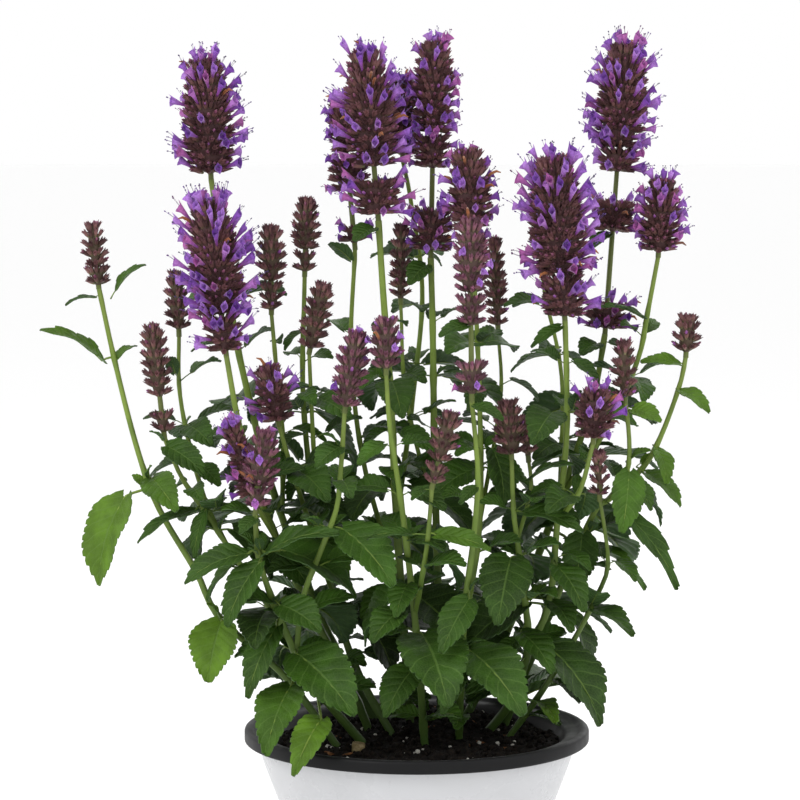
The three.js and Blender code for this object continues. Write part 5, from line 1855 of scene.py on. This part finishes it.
@dataclass
class Soil:
    """Peat in the nursery pot, with crumbs, white perlite and scraps of bark on top.

    Its wall leans from the foot's radius at the floor to its full radius at the top's height.
    """

    radius: float = 73.4
    foot: float = 37.9
    floor: float = 10.4
    level: float = 81.5
    top: float = 83.5
    strewn: float = 71.0
    seed: int = 4242
    grains: tuple[Grain, ...] = (
        Grain("crumb", 1, 0.5, 0, 1500, (0.8, 2.6), 0.1),
        Grain("perlite", 2, 0.45, 1, 75, (0.5, 1.5)),
        Grain("scrap", 2, 0.4, 2, 26, (1.0, 2.2), 0.75),
    )
    fallen: Grain = Grain("fallen", 2, 0.5, 2)
    fallen_at: tuple[float, float] = (-24, 60)

    def body(self) -> bmesh.types.BMesh:
        """Builds the filled space under the crumbs, with its uneven top."""
        slope = (self.radius - self.foot) / (self.top - self.floor)
        wall = [(self.foot + slope * (z - self.floor), z) for z in (self.floor, 30, 50, 66, 76)]
        rings = [(0.984 * self.radius * share, self.level) for share in np.linspace(1, 0.03, 26)]
        bm = turned([(0, self.floor), *wall, *rings, (0, self.level)], 90)
        for vert in bm.verts:
            if vert.co.z > self.level - 0.5:
                radius = math.hypot(vert.co.x, vert.co.y)
                lift = noise.fractal(vert.co * 0.16, 0.6, 2.1, 4) * 1.6
                hold = min(1.0, (self.radius - radius) / 4)
                vert.co.z = soil_height(vert.co.x, vert.co.y) + lift * hold
        return bm

    def chip(self, grain: Grain) -> bpy.types.Mesh:
        """Builds one rough grain of about a millimetre."""
        bm = fresh()
        bmesh.ops.create_icosphere(bm, subdivisions=grain.subdivisions, radius=1.0)
        away = Vector((len(grain.name), 0, 0))
        for vert in bm.verts:
            vert.co *= 1 + grain.rough * noise.noise(vert.co * 1.9 + away)
        coat(bm.faces, grain.finish)
        return kept(bm, grain.name)

    def strew(self, bm: bmesh.types.BMesh, grain: Grain, draw: Draws) -> None:
        """Strews grains over the top.

        Args:
            bm: the soil's mesh.
            grain: the kind of grain.
            draw: the draws that place them.
        """
        shape = self.chip(grain)
        for _ in range(grain.count):
            angle, radius = draw.between(0, math.tau), self.strewn * math.sqrt(draw())
            x, y = radius * math.cos(angle), radius * math.sin(angle)
            size = draw.between(*grain.size) * (0.6 + 0.4 * draw())
            turn = Matrix.Rotation(draw.between(0, math.tau), 4, "Z")
            tilt = Matrix.Rotation(draw.between(-0.5, 0.5), 4, "X")
            long, thin = size * (1 + 1.6 * grain.flat), size * (1 - 0.7 * grain.flat)
            place = Matrix.Translation((x, y, soil_height(x, y) + 0.35 * size))
            stamp(bm, shape, place @ turn @ tilt @ Matrix.Diagonal((long, size, thin, 1)))
        bpy.data.meshes.remove(shape)

    def build(self) -> bpy.types.Object:
        """Builds the soil as one piece."""
        draw = Draws(self.seed)
        bm = self.body()
        for grain in self.grains:
            self.strew(bm, grain, draw)
        place = Matrix.Translation((*self.fallen_at, soil_height(*self.fallen_at) + 1.6))
        spread = Matrix.Rotation(0.4, 4, "Z") @ Matrix.Diagonal((7.5, 4.6, 1.6, 1))
        bark = self.chip(self.fallen)
        bark.transform(place @ spread)
        merge(bm, bark)
        finishes = [FINISH[name] for name in ("peat", "perlite", "bark")]
        return piece(bm, "potting_soil", ["soil"], finishes)


@dataclass
class CutStub:
    """The stub of a stem that was cut off just above the soil."""

    place: tuple[float, float] = (-29.0, -24.0)
    radius: float = 3.4
    top: float = 84.7
    bottom: float = 68.0
    bark: float = 1.1
    sunk: float = 0.4
    uneven: float = 0.22

    def build(self) -> bpy.types.Object:
        """Builds the stub as one piece, with a sunken pith."""
        x, y = self.place
        heights = (self.bottom, 72.0, 76.0, 79.0, 82.0, self.top - 0.5, self.top)
        sizes = [self.radius * share for share in (0.97, 1.0, 0.98, 1.02, 0.96, 0.95, 0.88)]
        path = [np.array((x + 0.05 * k, y, height)) for k, height in enumerate(heights)]
        bm = fresh()
        sweep(bm, circle(bm, 20), ring_places(path, sizes))
        top = max(bm.faces, key=lambda face: face.calc_center_median().z)
        bmesh.ops.inset_individual(bm, faces=[top], thickness=self.bark)
        bmesh.ops.translate(bm, vec=(0, 0, -self.sunk), verts=top.verts[:])
        for vert in bm.verts:
            shift = (noise.noise(vert.co * 0.7), noise.noise(vert.co * 0.7 + vert.co), 0)
            vert.co += Vector(shift) * self.uneven
        shell_out(bm)
        return piece(bm, "stem_stub", ["cut_stub"], [FINISH["straw"]], 50.0)


@dataclass(frozen=True)
class Lamp:
    """A square soft light: its name, its place and side in metres, and its power in watts."""

    name: str
    place: Point
    size: float
    power: float


@dataclass
class Studio:
    """The pale floor, the soft lights and the camera of the photograph's view."""

    floor_radius: float = 30.0
    camera: Point = (-0.00835, -1.4791, 0.3862)
    pitch: float = 5.19
    focal: float = 135.0
    world: float = 1.0
    aim: Point = (0, 0, 0.25)
    lamps: tuple[Lamp, ...] = (
        Lamp("key", (-1.1, -1.3, 1.5), 0.9, 11.0), Lamp("fill", (1.4, -1.0, 0.9), 1.2, 3.0),
        Lamp("top", (0.1, 0.2, 1.7), 1.0, 4.0), Lamp("back", (0.5, 1.4, 1.0), 1.0, 3.0),
    )

    def floor(self) -> None:
        """Lays the floor."""
        bm = bmesh.new()
        bmesh.ops.create_circle(bm, cap_ends=True, segments=64, radius=self.floor_radius)
        mesh = kept(bm, "floor")
        ground = bpy.data.objects.new("floor", mesh)
        bpy.context.scene.collection.objects.link(ground)
        tree = Tree("floor_pale")
        faint = tree.ramp(tree.noise(3, 3), 0.3, 0.7, (0.6, 0.66))
        pale = {"Base Color": (0.98, 0.98, 0.98, 1.0), "Roughness": faint}
        mesh.materials.append(tree.finish(pale))

    def light(self, lamp: Lamp) -> None:
        """Hangs a lamp that faces the plant."""
        data = bpy.data.lights.new(lamp.name, "AREA")
        data.shape, data.size, data.energy = "SQUARE", lamp.size, lamp.power
        hung = bpy.data.objects.new(lamp.name, data)
        hung.location = lamp.place
        towards = Vector(self.aim) - Vector(lamp.place)
        hung.rotation_euler = towards.to_track_quat("-Z", "Y").to_euler()
        bpy.context.scene.collection.objects.link(hung)

    def build(self) -> None:
        """Sets up floor, lights, white surround and camera."""
        self.floor()
        for lamp in self.lamps:
            self.light(lamp)
        world = bpy.data.worlds.new("surround")
        world.use_nodes = True
        inputs = world.node_tree.nodes["Background"].inputs
        inputs["Color"].default_value = (1, 1, 1, 1)
        inputs["Strength"].default_value = self.world
        bpy.context.scene.world = world
        lens = bpy.data.cameras.new("photo_view")
        lens.lens, lens.sensor_width, lens.clip_start = self.focal, 36.0, 0.05
        view = bpy.data.objects.new("photo_view", lens)
        view.location = self.camera
        view.rotation_euler = (math.radians(90 - self.pitch), 0, 0)
        bpy.context.scene.collection.objects.link(view)
        bpy.context.scene.camera = view
        bpy.context.scene.view_settings.view_transform = "Standard"


def main() -> None:
    """Builds every piece and reports each through the log."""
    logging.basicConfig(level=logging.INFO, format="%(message)s")
    for build in (OuterPot().build, LinerPot().build, Soil().build, CutStub().build):
        build()
    growth = Growth()
    growth.stand()
    growth.grow_listed()
    growth.grow_pairs()
    growth.grow_side_twigs()
    log.info("%d leaves", sum(len(leaves) for leaves in growth.leaves.values()))
    for name in dict.fromkeys(stem.shoot for stem in STEMS):
        LeafyShoot(name, growth).build()
    florets = FloretShapes()
    shapes = {"calyx": florets.calyx(), "corolla": florets.corolla(), "bud": florets.bud(),
              "stamen": florets.stamen(), "faded": florets.faded()}
    for index, stem in enumerate(STEMS):
        FlowerHead(stem, index, shapes, growth).build()
    for shape in shapes.values():
        bpy.data.meshes.remove(shape)
    Studio().build()


if __name__ == "__main__":
    main()
